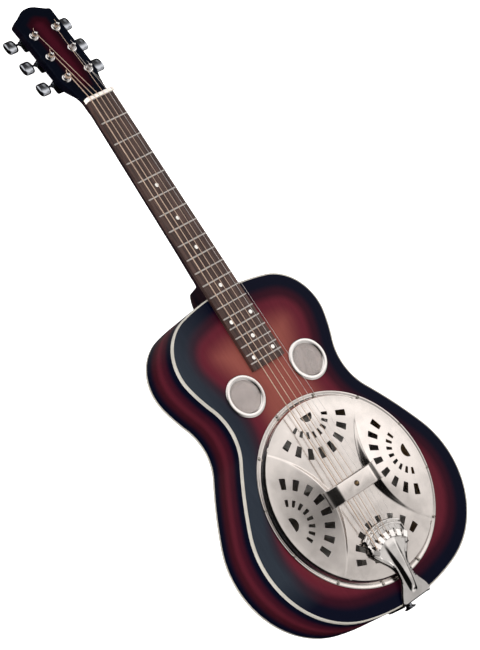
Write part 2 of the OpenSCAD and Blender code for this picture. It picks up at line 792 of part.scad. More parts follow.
module tuner_button(slot) {
    middle = button_x + button_w / 2 - post_x;
    color("gainsboro") at_post(slot) outwards(slot) translate([0, worm_y, -worm_z]) difference() {
        intersection() {
            translate([middle, 0, -button_t / 2]) linear_extrude(button_t)
                rounded_rectangle(button_w, button_l, 6);
            translate([middle, 0, 0]) rotate([0, 90, 0]) translate([0, 0, -button_w / 2])
                cylinder(h = button_w, r = button_l / 2, $fn = 64);
        }
        along_x(shaft_r, 0, shaft_end_x - post_x);
    }
}

module tuner_housing(slot) {
    at_post(slot) outwards(slot) difference() {
        union() {
            translate([1.5, 2, -head_t - housing_h]) linear_extrude(housing_h)
                rounded_rectangle(22, 20, 3);
            translate([-13, 0, -head_t - 2]) cylinder(h = 2, r = 3.4, $fn = 32);
            translate([-13, -3.4, -head_t - 2]) cube([8, 6.8, 2]);
            translate([0, 0, -head_t - 1]) cylinder(h = head_t + 3.2, r = sleeve_r, $fn = 32);
        }
        translate([0, 0, -worm_z - 2.4]) cylinder(h = worm_z - head_t + 1, r = 5.3, $fn = 48);
        translate([0, 0, -worm_z - 4]) cylinder(h = 3, r = 1.5 + running, $fn = 24);
        translate([0, 0, -head_t - 2]) cylinder(h = head_t + 6, r = post_r + running, $fn = 32);
        translate([0, worm_y, -worm_z]) {
            along_x(2.5, -7, 7);
            along_x(shaft_r + running, 6, 20);
            along_x(1 + running, -8.8, -6);
        }
        translate([-13, 0, -head_t - 3]) cylinder(h = 5, r = 1.2, $fn = 20);
    }
}

module tuner_housings() {
    color("silver") for (slot = [0:5]) tuner_housing(slot);
}

module post_nuts() {
    color("silver") for (slot = [0:5]) at_post(slot) difference() {
        union() {
            cylinder(h = 0.9, r = 7, $fn = 48);
            cylinder(h = 3, r = 5.6, $fn = 48);
        }
        translate([0, 0, -1]) cylinder(h = 3.2, r = sleeve_r, $fn = 32);
        cylinder(h = 5, r = post_r + 0.2, $fn = 32);
    }
}

module tuner_screws() {
    color("gray") for (slot = [0:5]) at_post(slot) outwards(slot) translate([-13, 0, 0]) {
        translate([0, 0, -head_t - 3.2]) cylinder(h = 1.2, r = 2.4, $fn = 24);
        translate([0, 0, -head_t - 2.2]) cylinder(h = 8, r = 1.1, $fn = 20);
    }
}

soundboard();
back_plate();
bass_side();
treble_side();
top_binding();
back_binding();
linings();
neck_block();
tail_block();
body_braces();
soundwell();
cone_ledge();
neck();
truss_rod();
neck_bolts();
bolt_washers();
headstock_veneer();
fretboard();
frets();
fret_markers();
nut();
cover_plate();
palm_rest();
cover_screws();
resonator_cone();
spider();
saddle_halves();
tension_screw();
screen_rings();
screen_meshes();
tailpiece();
strap_button();
strap_screw();
guitar_string(0);  // string_6_low_e
guitar_string(1);  // string_5_a
guitar_string(2);  // string_4_d
guitar_string(3);  // string_3_g
guitar_string(4);  // string_2_b
guitar_string(5);  // string_1_high_e
string_post(0);  // string_post_6
string_post(1);  // string_post_5
string_post(2);  // string_post_4
string_post(3);  // string_post_3
string_post(4);  // string_post_2
string_post(5);  // string_post_1
worm_shaft(0);  // worm_shaft_6
worm_shaft(1);  // worm_shaft_5
worm_shaft(2);  // worm_shaft_4
worm_shaft(3);  // worm_shaft_3
worm_shaft(4);  // worm_shaft_2
worm_shaft(5);  // worm_shaft_1
tuner_button(0);  // tuner_button_6
tuner_button(1);  // tuner_button_5
tuner_button(2);  // tuner_button_4
tuner_button(3);  // tuner_button_3
tuner_button(4);  // tuner_button_2
tuner_button(5);  // tuner_button_1
tuner_housings();
post_nuts();
tuner_screws();
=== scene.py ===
import json
from math import ceil, copysign, cos, pi, radians, sin, sqrt

import bpy
import numpy as np
from mathutils import Matrix, Vector
from mathutils.geometry import delaunay_2d_cdt


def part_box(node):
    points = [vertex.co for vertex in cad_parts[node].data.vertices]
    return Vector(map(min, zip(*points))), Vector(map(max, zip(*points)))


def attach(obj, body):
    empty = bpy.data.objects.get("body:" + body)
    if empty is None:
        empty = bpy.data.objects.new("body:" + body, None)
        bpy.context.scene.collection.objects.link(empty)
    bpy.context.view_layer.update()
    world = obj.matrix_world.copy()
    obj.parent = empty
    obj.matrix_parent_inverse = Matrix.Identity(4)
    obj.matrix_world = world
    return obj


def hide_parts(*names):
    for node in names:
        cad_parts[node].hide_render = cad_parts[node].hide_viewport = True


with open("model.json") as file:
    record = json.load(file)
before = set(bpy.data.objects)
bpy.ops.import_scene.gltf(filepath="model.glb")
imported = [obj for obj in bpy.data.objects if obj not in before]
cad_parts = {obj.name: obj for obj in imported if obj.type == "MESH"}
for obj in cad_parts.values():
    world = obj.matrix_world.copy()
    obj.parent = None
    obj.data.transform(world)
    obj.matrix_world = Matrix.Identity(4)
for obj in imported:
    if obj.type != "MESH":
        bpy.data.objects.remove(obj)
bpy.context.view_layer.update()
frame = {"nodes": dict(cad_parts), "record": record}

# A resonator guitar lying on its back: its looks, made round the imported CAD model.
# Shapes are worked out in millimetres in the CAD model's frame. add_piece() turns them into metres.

scene = bpy.context.scene

MM = 0.001

# ---- Sizes taken from the CAD model, in millimetres ----


def cad(node):
    """The lowest and highest corners of a CAD node, in millimetres."""
    low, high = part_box(node)
    return np.array(low) / MM, np.array(high) / MM


TOP = cad("soundboard")[1][2]                 # face of the soundboard
SKIN = 0.13                                   # keeps the smooth outline inside the CAD one
OUTLINE_TOP = 325.5                           # upper end of the body on the centre line
# Tangent arcs from the top of the centre line to the tail: radius, and turn in degrees.
OUTLINE_ARCS = [(345, 13.4), (73, 91.4), (233, 10), (-82, 58.9), (630, 9), (134, 99), (328, 16.1)]
SIDE_T = 2.4
PLATE_T = 3
BINDING_H = 5
WELL_R = 131
SCREEN_X, SCREEN_Y, SCREEN_R = 62, 181.5, 31.5

COVER_R = 143
COVER_T = 1.2
COVER_SCREW_R = 140.3
FIELD_EDGE_X, FIELD_EDGE_R = 171.7, 128
FAN_FOCUS = 119
PALM_TOP = TOP + 25.5

HEAD_Y = 650
HEAD_ANGLE = radians(9.5)
HEAD_DROP = 2.5
HEAD_T = 14
VENEER_T = 1.5
POST_X, POST_Y, POST_PITCH = 20.5, 43.6, 39
WORM_Y, WORM_Z = 7, HEAD_T + 5
POST_R, POST_TOP = 3, 10.5

SCALE = 645
GAUGE_R = [0.71, 0.58, 0.46, 0.36, 0.23, 0.20]
STRING_NAMES = ["string_6_low_e", "string_5_a", "string_4_d", "string_3_g", "string_2_b",
                "string_1_high_e"]
NUT_SPREAD, SADDLE_SPREAD = 41, 54
NUT_STRING_H, SADDLE_STRING_H = 12.3, 22.3
WRAP_GAP, WRAP_H, WRAP_TURNS = 0.12, 4.2, 2
TAIL_CENTRE_Y = -124.6
TAIL_BALL_R = 41
TAIL_HEAD_Z = TOP + 13.6
TAIL_T = 1.6
TAIL_FRONT_Y, TAIL_END_Y = -56, -176.54
TAIL_FAN_W, TAIL_WAIST_W, TAIL_FLANGE_W = 36.4, 13.6, 28      # half widths
STRING_ANGLE = 15                             # between neighbouring strings in the fan, in degrees
BALL_Z = TAIL_HEAD_Z + TAIL_T + 1.95
STRAP_Y, STRAP_Z = TAIL_END_Y - 1.65, TOP - 26


# ---- Camera, light and floor ----

def add_camera():
    """Stands where the photo was taken from. right and back are two of the camera's axes."""
    right = Vector((0.7034, -0.5368, 0.4659)).normalized()
    back = Vector((-0.5841, -0.0629, 0.8093))
    back = (back - right * back.dot(right)).normalized()
    turn = Matrix((right, back.cross(right), back)).transposed()
    data = bpy.data.cameras.new("camera")
    data.lens = 121.85
    camera = bpy.data.objects.new("camera", data)
    camera.matrix_world = Matrix.Translation((-1.7871, 0.0786, 2.5552)) @ turn.to_4x4()
    scene.collection.objects.link(camera)
    scene.camera = camera


def node(tree, kind, inputs=None, **settings):
    """A new shader node. An input given as a socket is linked, and any other is set."""
    made = tree.nodes.new(kind)
    for key, value in settings.items():
        setattr(made, key, value)
    for key, value in (inputs or {}).items():
        if isinstance(value, bpy.types.NodeSocket):
            tree.links.new(value, made.inputs[key])
        else:
            made.inputs[key].default_value = value
    return made


def calculate(tree, operation, first, second):
    return node(tree, "ShaderNodeMath", {0: first, 1: second}, operation=operation).outputs[0]


def fill_ramp(ramp, stops):
    """Gives a colour ramp its stops, each a place and a colour."""
    while len(ramp.elements) < len(stops):
        ramp.elements.new(0.5)
    for element, (place, colour) in zip(ramp.elements, stops):
        element.position = place
        element.color = (*colour, 1)


def add_world():
    """A dark studio with soft sources: a broad one over the treble side, and some past both ends."""
    world = bpy.data.worlds.new("studio")
    world.use_nodes = True
    tree = world.node_tree
    tree.nodes.clear()
    direction = node(tree, "ShaderNodeTexCoord").outputs["Generated"]
    axes = node(tree, "ShaderNodeSeparateXYZ", {"Vector": direction}).outputs
    northing, height = axes["Y"], axes["Z"]

    def facing(*source):
        return node(tree, "ShaderNodeVectorMath", {0: direction, 1: Vector(source).normalized()},
                    operation="DOT_PRODUCT").outputs["Value"]

    def fade(value, low, high, to_low, to_high):
        return node(tree, "ShaderNodeMapRange", {"Value": value, "From Min": low, "From Max": high,
                    "To Min": to_low, "To Max": to_high}, interpolation_type="SMOOTHSTEP").outputs[0]

    overhead = node(tree, "ShaderNodeValToRGB", {"Fac": facing(0.734, 0.404, 0.55)})
    stops = ((0.67, 0.0), (0.73, 0.15), (0.792, 0.22), (0.850, 0.30), (0.866, 0.60), (0.875, 0.82),
             (0.92, 0.92))
    fill_ramp(overhead.color_ramp, [(place, (level, level, level)) for place, level in stops])
    panel = calculate(tree, "MULTIPLY", overhead.outputs["Color"],
                      fade(northing, 0.28, 0.47, 1.45, 0.05))
    low_sheen = fade(facing(0.25, 0.60, -0.76), 0.80, 0.97, 0.0, 0.30)
    far_panel = fade(facing(-0.05, 0.75, 0.66), 0.80, 0.92, 0.0, 1.1)
    tail_panel = fade(facing(0.45, -0.60, 0.66), 0.80, 0.93, 0.003, 0.50)
    tail_wall = calculate(tree, "MULTIPLY", fade(northing, -0.84, -0.62, 0.60, 0.0),
                          fade(height, 0.20, 0.32, 0.0, 1.0))
    level = calculate(tree, "ADD", panel, low_sheen)
    for source in (far_panel, tail_panel, tail_wall):
        level = calculate(tree, "ADD", level, source)
    light = node(tree, "ShaderNodeBackground", {"Color": (1.0, 0.965, 0.94, 1), "Strength": level})
    output = node(tree, "ShaderNodeOutputWorld")
    tree.links.new(light.outputs[0], output.inputs["Surface"])
    scene.world = world


def add_soft_light(name, place, aim, size, power):
    """A round lamp that lights surfaces but isn't mirrored in them."""
    data = bpy.data.lights.new(name, "AREA")
    data.shape = "DISK"
    data.size = size
    data.energy = power
    light = bpy.data.objects.new(name, data)
    direction = Vector(place) - Vector(aim)
    light.rotation_euler = direction.to_track_quat("Z", "Y").to_euler()
    light.location = place
    light.visible_glossy = False
    scene.collection.objects.link(light)


def add_floor():
    """A white floor, a hair below the guitar's back."""
    mesh = bpy.data.meshes.new("floor")
    half, gap = 6.0, 0.0004
    corners = [(x, y, -gap) for x, y in ((-half, -half), (half, -half), (half, half), (-half, half))]
    mesh.from_pydata(corners, [], [(0, 1, 2, 3)])
    floor = bpy.data.objects.new("floor", mesh)
    scene.collection.objects.link(floor)
    material = bpy.data.materials.new("floor")
    material.use_nodes = True
    shader = material.node_tree.nodes["Principled BSDF"]
    shader.inputs["Base Color"].default_value = (0.9, 0.9, 0.9, 1)
    shader.inputs["Roughness"].default_value = 0.9
    shader.inputs["Emission Color"].default_value = (1, 1, 1, 1)
    shader.inputs["Emission Strength"].default_value = 0.85
    mesh.materials.append(material)
    floor.visible_glossy = False


# ---- Shapes: each is an array of points and a list of faces ----

def join(*shapes):
    points, faces, count = [], [], 0
    for shape_points, shape_faces in shapes:
        points.append(np.asarray(shape_points, float))
        faces += [tuple(i + count for i in face) for face in shape_faces]
        count += len(shape_points)
    return np.vstack(points), faces


def flipped(shape):
    points, faces = shape
    return points, [tuple(reversed(face)) for face in faces]


def placed(shape, matrix):
    points, faces = shape
    turn = np.array(matrix)
    return points @ turn[:3, :3].T + turn[:3, 3], faces


def moved(shape, x, y, z):
    return placed(shape, Matrix.Translation((x, y, z)))


def mirrored(shape):
    points, faces = shape
    return points * (-1, 1, 1), [tuple(reversed(face)) for face in faces]


def loft(rings, closed=False):
    """A skin through rings of equal length, capped at both ends unless it closes on itself."""
    count, last = len(rings[0]), len(rings)
    faces = []
    for k in range(last if closed else last - 1):
        here, there = k * count, (k + 1) % last * count
        for j in range(count):
            following = (j + 1) % count
            faces.append((here + j, here + following, there + following, there + j))
    if not closed:
        faces.append(tuple(range(count - 1, -1, -1)))
        faces.append(tuple(range((last - 1) * count, last * count)))
    return np.array([p for ring in rings for p in ring], float), faces


def circle(radius, z=0.0, steps=48):
    return [(radius * cos(2 * pi * k / steps), radius * sin(2 * pi * k / steps), z)
            for k in range(steps)]


def lathe(profile, steps=48, closed=False):
    """A profile of radius and height turned about the Z axis, from its lower end to its upper."""
    return loft([circle(radius, z, steps) for radius, z in profile], closed)


def bar(length, height, width):
    """A plain bar along X, used only as a cutter."""
    x, y, z = length / 2, width / 2, height / 2
    ring = [(-y, -z), (y, -z), (y, z), (-y, z)]
    return loft([[(-x, a, b) for a, b in ring], [(x, a, b) for a, b in ring]])


def along_x(shape):
    """Turns a shape drawn along Z so that it points along +X."""
    return placed(shape, Matrix.Rotation(pi / 2, 4, "Y"))


def unit(rows):
    """Each row scaled to a length of one."""
    return rows / np.linalg.norm(rows, axis=1)[:, None]


def smooth_step(t):
    t = np.clip(t, 0, 1)
    return t * t * (3 - 2 * t)


def spline(points, per_span):
    """A Catmull-Rom curve through points of any number of dimensions."""
    points = np.array(points, float)
    ends = np.vstack([2 * points[0] - points[1], points, 2 * points[-1] - points[-2]])
    curve = []
    for k in range(1, len(ends) - 2):
        a, b, c, d = ends[k - 1:k + 3]
        for step in range(per_span):
            t = step / per_span
            curve.append(0.5 * (2 * b + (c - a) * t + (2 * a - 5 * b + 4 * c - d) * t * t
                                + (3 * b - a - 3 * c + d) * t ** 3))
    return np.array(curve + [points[-1]])


def rounded(points, radius, steps=6):
    """A path with a curve in place of each corner, starting radius away from it."""
    points = [np.array(p, float) for p in points]
    path = [points[0]]
    for before, corner, after in zip(points, points[1:], points[2:]):
        back, ahead = np.linalg.norm(before - corner), np.linalg.norm(after - corner)
        reach = min(radius, back / 2, ahead / 2)
        start = corner + reach * (before - corner) / back
        end = corner + reach * (after - corner) / ahead
        for k in range(steps + 1):
            t = k / steps
            path.append((1 - t) ** 2 * start + 2 * t * (1 - t) * corner + t * t * end)
    return np.array(path + [points[-1]])


def rounded_loop(points, radius, steps=4):
    """A closed polygon with rounded corners."""
    points = np.array(points, float)
    middle = (points[0] + points[-1]) / 2
    return rounded(np.vstack([middle, points, middle]), radius, steps)[:-1]


def shrunk(loop, distance):
    """A closed plan curve moved inwards, for small distances."""
    loop = np.array(loop, float)
    along = unit(np.roll(loop, -1, 0) - np.roll(loop, 1, 0))
    inward = np.column_stack([-along[:, 1], along[:, 0]])
    area = np.sum(loop[:, 0] * np.roll(loop[:, 1], -1) - np.roll(loop[:, 0], -1) * loop[:, 1])
    return loop + inward * distance * (1 if area > 0 else -1)


def at_height(loop, z):
    return [(x, y, z) for x, y in loop]


def tube(route, radius, sides=12):
    """A round wire along a route, with rings that don't twist."""
    route = np.array(route, float)
    steps = unit(np.diff(route, axis=0))
    along = unit(np.vstack([steps[:1], steps[:-1] + steps[1:], steps[-1:]]))
    across = np.cross(along[0], (0, 0, 1.0))
    if np.linalg.norm(across) < 0.1:
        across = np.cross(along[0], (1.0, 0, 0))
    rings = []
    for centre, forward in zip(route, along):
        across = across - forward * np.dot(across, forward)
        across /= np.linalg.norm(across)
        lift = np.cross(across, forward)
        rings.append([centre + radius * (cos(a) * across - sin(a) * lift)
                      for a in (2 * pi * j / sides for j in range(sides))])
    return loft(rings)


def inside(points, loop):
    """Which plan points lie in a closed plan loop."""
    x, y = points[:, 0], points[:, 1]
    result = np.zeros(len(points), bool)
    for (x0, y0), (x1, y1) in zip(loop, np.roll(loop, -1, 0)):
        if y0 != y1:
            crosses = (y0 > y) != (y1 > y)
            result ^= crosses & (x < (x1 - x0) * (y - y0) / (y1 - y0) + x0)
    return result


def distance_to(points, loop):
    """Distance from each plan point to a closed plan loop."""
    best = np.full(len(points), 1e9)
    for start, end in zip(loop, np.roll(loop, -1, 0)):
        side = end - start
        t = np.clip((points - start) @ side / max(side @ side, 1e-12), 0, 1)
        best = np.minimum(best, np.hypot(*(points - start - t[:, None] * side).T))
    return best


def grid(loops, pitch):
    """Plan points in rows, inside the first loop and outside the others."""
    low, high = loops[0].min(0), loops[0].max(0)
    rows = np.arange(low[1], high[1], pitch * 0.87)
    spots = [(x + pitch / 2 * (k % 2), y) for k, y in enumerate(rows)
             for x in np.arange(low[0], high[0], pitch)]
    return clear_of(np.array(spots), loops, pitch * 0.55)


def clear_of(spots, loops, gap):
    keep = inside(spots, loops[0]) & (distance_to(spots, loops[0]) > gap)
    for hole in loops[1:]:
        keep &= ~inside(spots, hole) & (distance_to(spots, hole) > gap)
    return spots[keep]


def slab(loops, spots, surfaces):
    """A closed sheet over a plan. The first loop is its edge and the others are its holes.

    surfaces(plan) gives the upper and the lower points that stand over the plan's points.
    """
    loops = [np.array(loop, float) for loop in loops]
    edges, count = [], 0
    for loop in loops:
        edges += [(count + k, count + (k + 1) % len(loop)) for k in range(len(loop))]
        count += len(loop)
    plan = [Vector(p) for p in np.vstack(loops + [spots])]
    plan, _, triangles, *_ = delaunay_2d_cdt(plan, edges, [], 0, 1e-5)
    plan, triangles = np.array([tuple(p) for p in plan]), np.array(triangles)
    middles = plan[triangles].mean(1)
    keep = inside(middles, loops[0])
    for hole in loops[1:]:
        keep &= ~inside(middles, hole)
    a, b, c = (plan[triangles[:, k]] for k in range(3))
    area = (b - a)[:, 0] * (c - a)[:, 1] - (b - a)[:, 1] * (c - a)[:, 0]
    triangles[area < 0] = triangles[area < 0][:, ::-1]
    triangles = triangles[keep & (np.abs(area) > 1e-9)]
    used = np.unique(triangles)
    renumber = np.zeros(len(plan), int)
    renumber[used] = range(len(used))
    plan, triangles = plan[used], renumber[triangles]
    upper, lower = surfaces(plan)
    faces = [tuple(t) for t in triangles.tolist()]
    sides = {(t[k], t[(k + 1) % 3]) for t in faces for k in range(3)}
    n = len(plan)
    rim = [(i + n, j + n, j, i) for i, j in sides if (j, i) not in sides]
    under = [tuple(i + n for i in reversed(t)) for t in faces]
    return np.vstack([upper, lower]), faces + under + sorted(rim)


def flat(z_upper, z_lower):
    def surfaces(plan):
        return (np.column_stack([plan, np.full(len(plan), z_upper)]),
                np.column_stack([plan, np.full(len(plan), z_lower)]))
    return surfaces


# ---- Pieces ----

def new_object(name, shape):
    points, faces = shape
    mesh = bpy.data.meshes.new(name)
    mesh.from_pydata((np.asarray(points) * MM).tolist(), [], faces)
    mesh.validate()
    made = bpy.data.objects.new(name, mesh)
    scene.collection.objects.link(made)
    return made


def carve(piece, *cutters):
    """Cuts shapes out of a piece."""
    for shape in cutters:
        tool = new_object("cutter", shape)
        cut = piece.modifiers.new("cut", "BOOLEAN")
        cut.object = tool
        cut.operation = "DIFFERENCE"
        cut.solver = "EXACT"
        shown = piece.evaluated_get(bpy.context.evaluated_depsgraph_get())
        mesh = bpy.data.meshes.new_from_object(shown)
        piece.modifiers.clear()
        piece.data = mesh
        bpy.data.objects.remove(tool)


def add_piece(name, shape, slot, replaces=(), body="root", sharp=35, cuts=(), finish=None):
    """A finished piece. Edges that bend by more than sharp degrees stay crisp."""
    piece = new_object(name, shape)
    carve(piece, *cuts)
    mesh = piece.data
    mesh.polygons.foreach_set("use_smooth", [True] * len(mesh.polygons))
    mesh.set_sharp_from_angle(angle=radians(sharp))
    mesh.materials.clear()
    mesh.materials.append(MATERIALS[finish or slot])
    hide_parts(*replaces)
    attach(piece, body)
    return piece


def set_rim(piece, loop):
    """Stores each point's distance from a plan loop, in metres, for a burst finish."""
    mesh = piece.data
    places = np.zeros(len(mesh.vertices) * 3)
    mesh.vertices.foreach_get("co", places)
    plan = places.reshape(-1, 3)[:, :2] / MM
    attribute = mesh.attributes.new("rim", "FLOAT", "POINT")
    attribute.data.foreach_set("value", (distance_to(plan, loop) * MM).astype(np.float32))


# ---- Materials ----

MATERIALS = {}


class Finish:
    """A Principled material under construction, with the procedural patterns it uses."""

    def __init__(self, slot, **inputs):
        self.material = bpy.data.materials.new(slot)
        self.material.use_nodes = True
        self.tree = self.material.node_tree
        self.shader = self.tree.nodes["Principled BSDF"]
        for key, value in inputs.items():
            self.shader.inputs[key.replace("_", " ")].default_value = value
        self.place = node(self.tree, "ShaderNodeTexCoord").outputs["Object"]
        MATERIALS[slot] = self.material

    def noise(self, scale, stretch=(1, 1, 1), detail=3.0, distortion=0.0):
        place = node(self.tree, "ShaderNodeMapping",
                     {"Vector": self.place, "Scale": stretch}).outputs[0]
        return node(self.tree, "ShaderNodeTexNoise", {"Vector": place, "Scale": scale,
                    "Detail": detail, "Distortion": distortion}).outputs["Fac"]

    def attribute(self, name):
        return node(self.tree, "ShaderNodeAttribute", attribute_name=name).outputs["Fac"]

    def axis(self, letter):
        return node(self.tree, "ShaderNodeSeparateXYZ", {"Vector": self.place}).outputs[letter]

    def spread(self, value, low, high, to_low=0.0, to_high=1.0):
        return node(self.tree, "ShaderNodeMapRange", {"Value": value, "From Min": low,
                    "From Max": high, "To Min": to_low, "To Max": to_high}).outputs[0]

    def ramp(self, value, *stops):
        made = node(self.tree, "ShaderNodeValToRGB", {"Fac": value})
        made.color_ramp.interpolation = "EASE"
        fill_ramp(made.color_ramp, stops)
        return made.outputs["Color"]

    def blend(self, factor, first, second, kind="MULTIPLY"):
        """Mixes two colours. In the colour mode, inputs 6 and 7 and output 2 are the ones in use."""
        return node(self.tree, "ShaderNodeMix", {0: factor, 6: first, 7: second},
                    data_type="RGBA", blend_type=kind).outputs[2]

    def use(self, key, value):
        self.tree.links.new(value, self.shader.inputs[key])

    def bump(self, height, strength, distance, key="Normal"):
        made = node(self.tree, "ShaderNodeBump", {"Height": height, "Strength": strength,
                    "Distance": distance})
        self.use(key, made.outputs[0])


def lacquer(slot, stops, coordinate, grain=(9, 0.9, 9), painted_reflection=False):
    """Clear gloss over stained wood. The stain follows a burst from stop to stop.

    Its last flag adds a painted reflection: a greyish edge beside the bass side of the waist, standing in
    for the studio mirrored in the gloss.
    """
    made = Finish(slot, Roughness=0.45, Coat_Weight=0.07, Coat_Roughness=0.04)
    made.shader.inputs["Specular IOR Level"].default_value = 0.03
    burst = made.ramp(coordinate(made), *stops)
    if painted_reflection:
        # Painted reflection: a greyish tint on the bass edge near the waist, in place of the studio
        # mirrored in the gloss.
        reflection_share = made.spread(made.attribute("rim"), 0.046, 0.022)
        for limit in (made.spread(made.axis("X"), -0.04, -0.13),
                      made.spread(made.axis("Y"), -0.110, -0.055)):
            reflection_share = calculate(made.tree, "MULTIPLY", reflection_share, limit)
        burst = made.blend(reflection_share, burst, (0.020, 0.026, 0.036, 1), "MIX")
    figure = made.spread(made.noise(24, grain, 5, 0.6), 0.3, 0.7, 0.94, 1.05)
    made.use("Base Color", made.blend(1.0, burst, figure))
    orange_peel = made.noise(160, detail=1)
    made.bump(orange_peel, 0.04, 0.0004, "Coat Normal")


def metal(slot, colour, rough, wear=0.06, scratch=0.03, body=1.0):
    """Plated or bare metal with smudges in its gloss and hairline scratches."""
    made = Finish(slot, Metallic=body)
    smudge = made.noise(38, detail=4)
    dark = tuple(c * 0.86 for c in colour)
    made.use("Base Color", made.ramp(smudge, (0.3, dark), (0.65, colour)))
    made.use("Roughness", made.spread(smudge, 0.3, 0.7, rough, rough + wear))
    made.bump(made.noise(900, detail=2), scratch, 0.0002)
    return made


def wood(slot, dark, light, rough, grain=(9, 0.5, 9)):
    """Bare or oiled wood, with its grain along Y."""
    made = Finish(slot)
    streaks = made.noise(30, grain, 6, 0.8)
    pores = made.noise(260, (4, 0.25, 4), 2)
    colour = made.ramp(streaks, (0.3, dark), (0.72, light))
    shade = made.ramp(pores, (0.36, (0.55, 0.5, 0.48)), (0.5, (1, 1, 1)))
    made.use("Base Color", made.blend(0.6, colour, shade))
    made.use("Roughness", made.spread(streaks, 0.3, 0.7, rough + 0.1, rough - 0.06))
    made.bump(pores, 0.25, 0.0003)
    return made


def make_materials():
    edge, wine, centre = (0.0012, 0.0020, 0.009), (0.088, 0.010, 0.019), (0.22, 0.060, 0.048)
    # The soundboard's burst also gets the painted reflection on its bass edge near the waist.
    lacquer("burst_lacquer",
            [(0.15, edge), (0.29, (0.024, 0.003, 0.009)), (0.44, wine), (0.90, centre)],
            lambda made: made.spread(made.attribute("rim"), 0, 0.100), painted_reflection=True)
    lacquer("back_lacquer",
            [(0.10, edge), (0.40, (0.05, 0.004, 0.008)), (0.95, (0.11, 0.014, 0.012))],
            lambda made: made.spread(made.attribute("rim"), 0, 0.120))
    lacquer("side_lacquer",
            [(0.14, edge), (0.35, (0.03, 0.003, 0.007)), (0.50, (0.062, 0.006, 0.013)),
             (0.67, (0.032, 0.003, 0.009)), (0.85, edge)],
            lambda made: made.spread(made.axis("Z"), 0, TOP * MM), (3, 3, 30))
    lacquer("neck_lacquer", [(0.3, (0.004, 0.003, 0.006)), (0.7, (0.014, 0.005, 0.007))],
            lambda made: made.noise(14, (6, 0.6, 6)))
    lacquer("black_lacquer", [(0.3, (0.001, 0.0015, 0.004)), (0.7, (0.003, 0.002, 0.005))],
            lambda made: made.noise(14, (6, 0.6, 6)))
    lacquer("head_lacquer", [(0.38, (0.001, 0.002, 0.006)), (0.62, (0.016, 0.001, 0.004)),
                             (0.92, (0.042, 0.003, 0.009))],
            lambda made: made.spread(made.attribute("rim"), 0, 0.034))

    cream = Finish("cream_binding", Roughness=0.32, Coat_Weight=1.0, Coat_Roughness=0.04, Coat_IOR=1.5)
    cream.use("Base Color", cream.ramp(cream.noise(45, detail=4), (0.3, (0.40, 0.375, 0.33)),
                                       (0.7, (0.46, 0.435, 0.385))))
    cream.bump(cream.noise(400, detail=2), 0.04, 0.0003)

    wood("bare_wood", (0.36, 0.22, 0.11), (0.58, 0.40, 0.22), 0.6)
    wood("maple_saddle", (0.55, 0.38, 0.2), (0.7, 0.52, 0.3), 0.5, (8, 8, 1))
    board = wood("rosewood", (0.022, 0.012, 0.011), (0.085, 0.045, 0.036), 0.42, (14, 0.5, 14))
    board.shader.inputs["Specular IOR Level"].default_value = 0.45

    pearl = Finish("white_inlay", Roughness=0.18, Coat_Weight=0.6)
    pearl.use("Base Color", pearl.ramp(pearl.noise(420, (1, 1, 1), 4, 2.5), (0.3, (0.62, 0.60, 0.56)),
                                       (0.55, (0.86, 0.84, 0.80)), (0.75, (0.72, 0.75, 0.74))))
    bone = Finish("white_bone", Roughness=0.35, Subsurface_Weight=0.1, Subsurface_Scale=0.002)
    bone.use("Base Color", bone.ramp(bone.noise(90, (1, 4, 4), 4), (0.35, (0.84, 0.76, 0.70)),
                                     (0.65, (0.93, 0.86, 0.80))))
    bone.bump(bone.noise(500, detail=2), 0.05, 0.0003)

    metal("nickel_plate", (0.85, 0.80, 0.765), 0.16, 0.06, 0.02)
    metal("screen_bezel", (0.90, 0.87, 0.85), 0.14)
    metal("tailpiece_chrome", (0.86, 0.84, 0.82), 0.09)
    metal("tuner_chrome", (0.50, 0.53, 0.58), 0.10)
    metal("bright_chrome", (0.95, 0.94, 0.94), 0.12)
    metal("screw_nickel", (0.66, 0.62, 0.57), 0.22)
    metal("nickel_silver", (0.70, 0.655, 0.62), 0.25, scratch=0.08, body=0.75)
    metal("brass_screw", (0.62, 0.47, 0.20), 0.25, 0.1)
    metal("steel_hardware", (0.45, 0.45, 0.46), 0.35, 0.15, 0.1)
    metal("cast_aluminium", (0.62, 0.61, 0.60), 0.45, 0.12, 0.4)
    metal("screen_mesh", (0.74, 0.66, 0.63), 0.45, 0.1, body=0.2)
    metal("plain_string", (0.86, 0.80, 0.76), 0.3, body=0.6)

    cone = metal("spun_aluminium", (0.70, 0.69, 0.67), 0.28, 0.1)
    rings = node(cone.tree, "ShaderNodeTexWave", {"Vector": cone.place, "Scale": 190.0,
                 "Distortion": 0.6}, wave_type="RINGS", rings_direction="Z").outputs["Fac"]
    cone.bump(rings, 0.25, 0.0002)

    wound = metal("wound_string", (0.80, 0.60, 0.46), 0.32, body=0.6)
    turns = node(wound.tree, "ShaderNodeTexWave", {"Vector": wound.place, "Scale": 950.0},
                 wave_type="BANDS", bands_direction="Y").outputs["Fac"]
    wound.bump(turns, 0.6, 0.0001)


# ---- Body ----

def half_outline(inset, step=3.0):
    """Points down the treble side, from the top of the centre line to the tail."""
    points, turn, start = [], 0.0, np.array([0.0, OUTLINE_TOP])
    for radius, degrees in OUTLINE_ARCS:
        bend = copysign(radians(degrees), radius)
        centre = start - radius * np.array([sin(turn), cos(turn)])
        count = ceil(abs(radius * bend) / step)
        for k in range(count):
            angle = turn + bend * k / count
            points.append(centre + (radius - inset) * np.array([sin(angle), cos(angle)]))
        turn += bend
        start = centre + radius * np.array([sin(turn), cos(turn)])
    return np.array(points + [[0.0, start[1] + inset]])


def outline(inset, step=3.0):
    """The whole body outline, anticlockwise."""
    right = half_outline(inset, step)
    left = right[1:-1] * (-1, 1)
    return np.vstack([right[::-1], left])


def circle_loop(x, y, radius, steps):
    return np.array(circle(radius, 0, steps))[:, :2] + (x, y)


def swept_outline(profile):
    """A moulding round the whole body. The profile is inset and height, anticlockwise."""
    loops = [at_height(outline(SKIN + inset), z) for inset, z in profile]
    return flipped(loft(loops, closed=True))


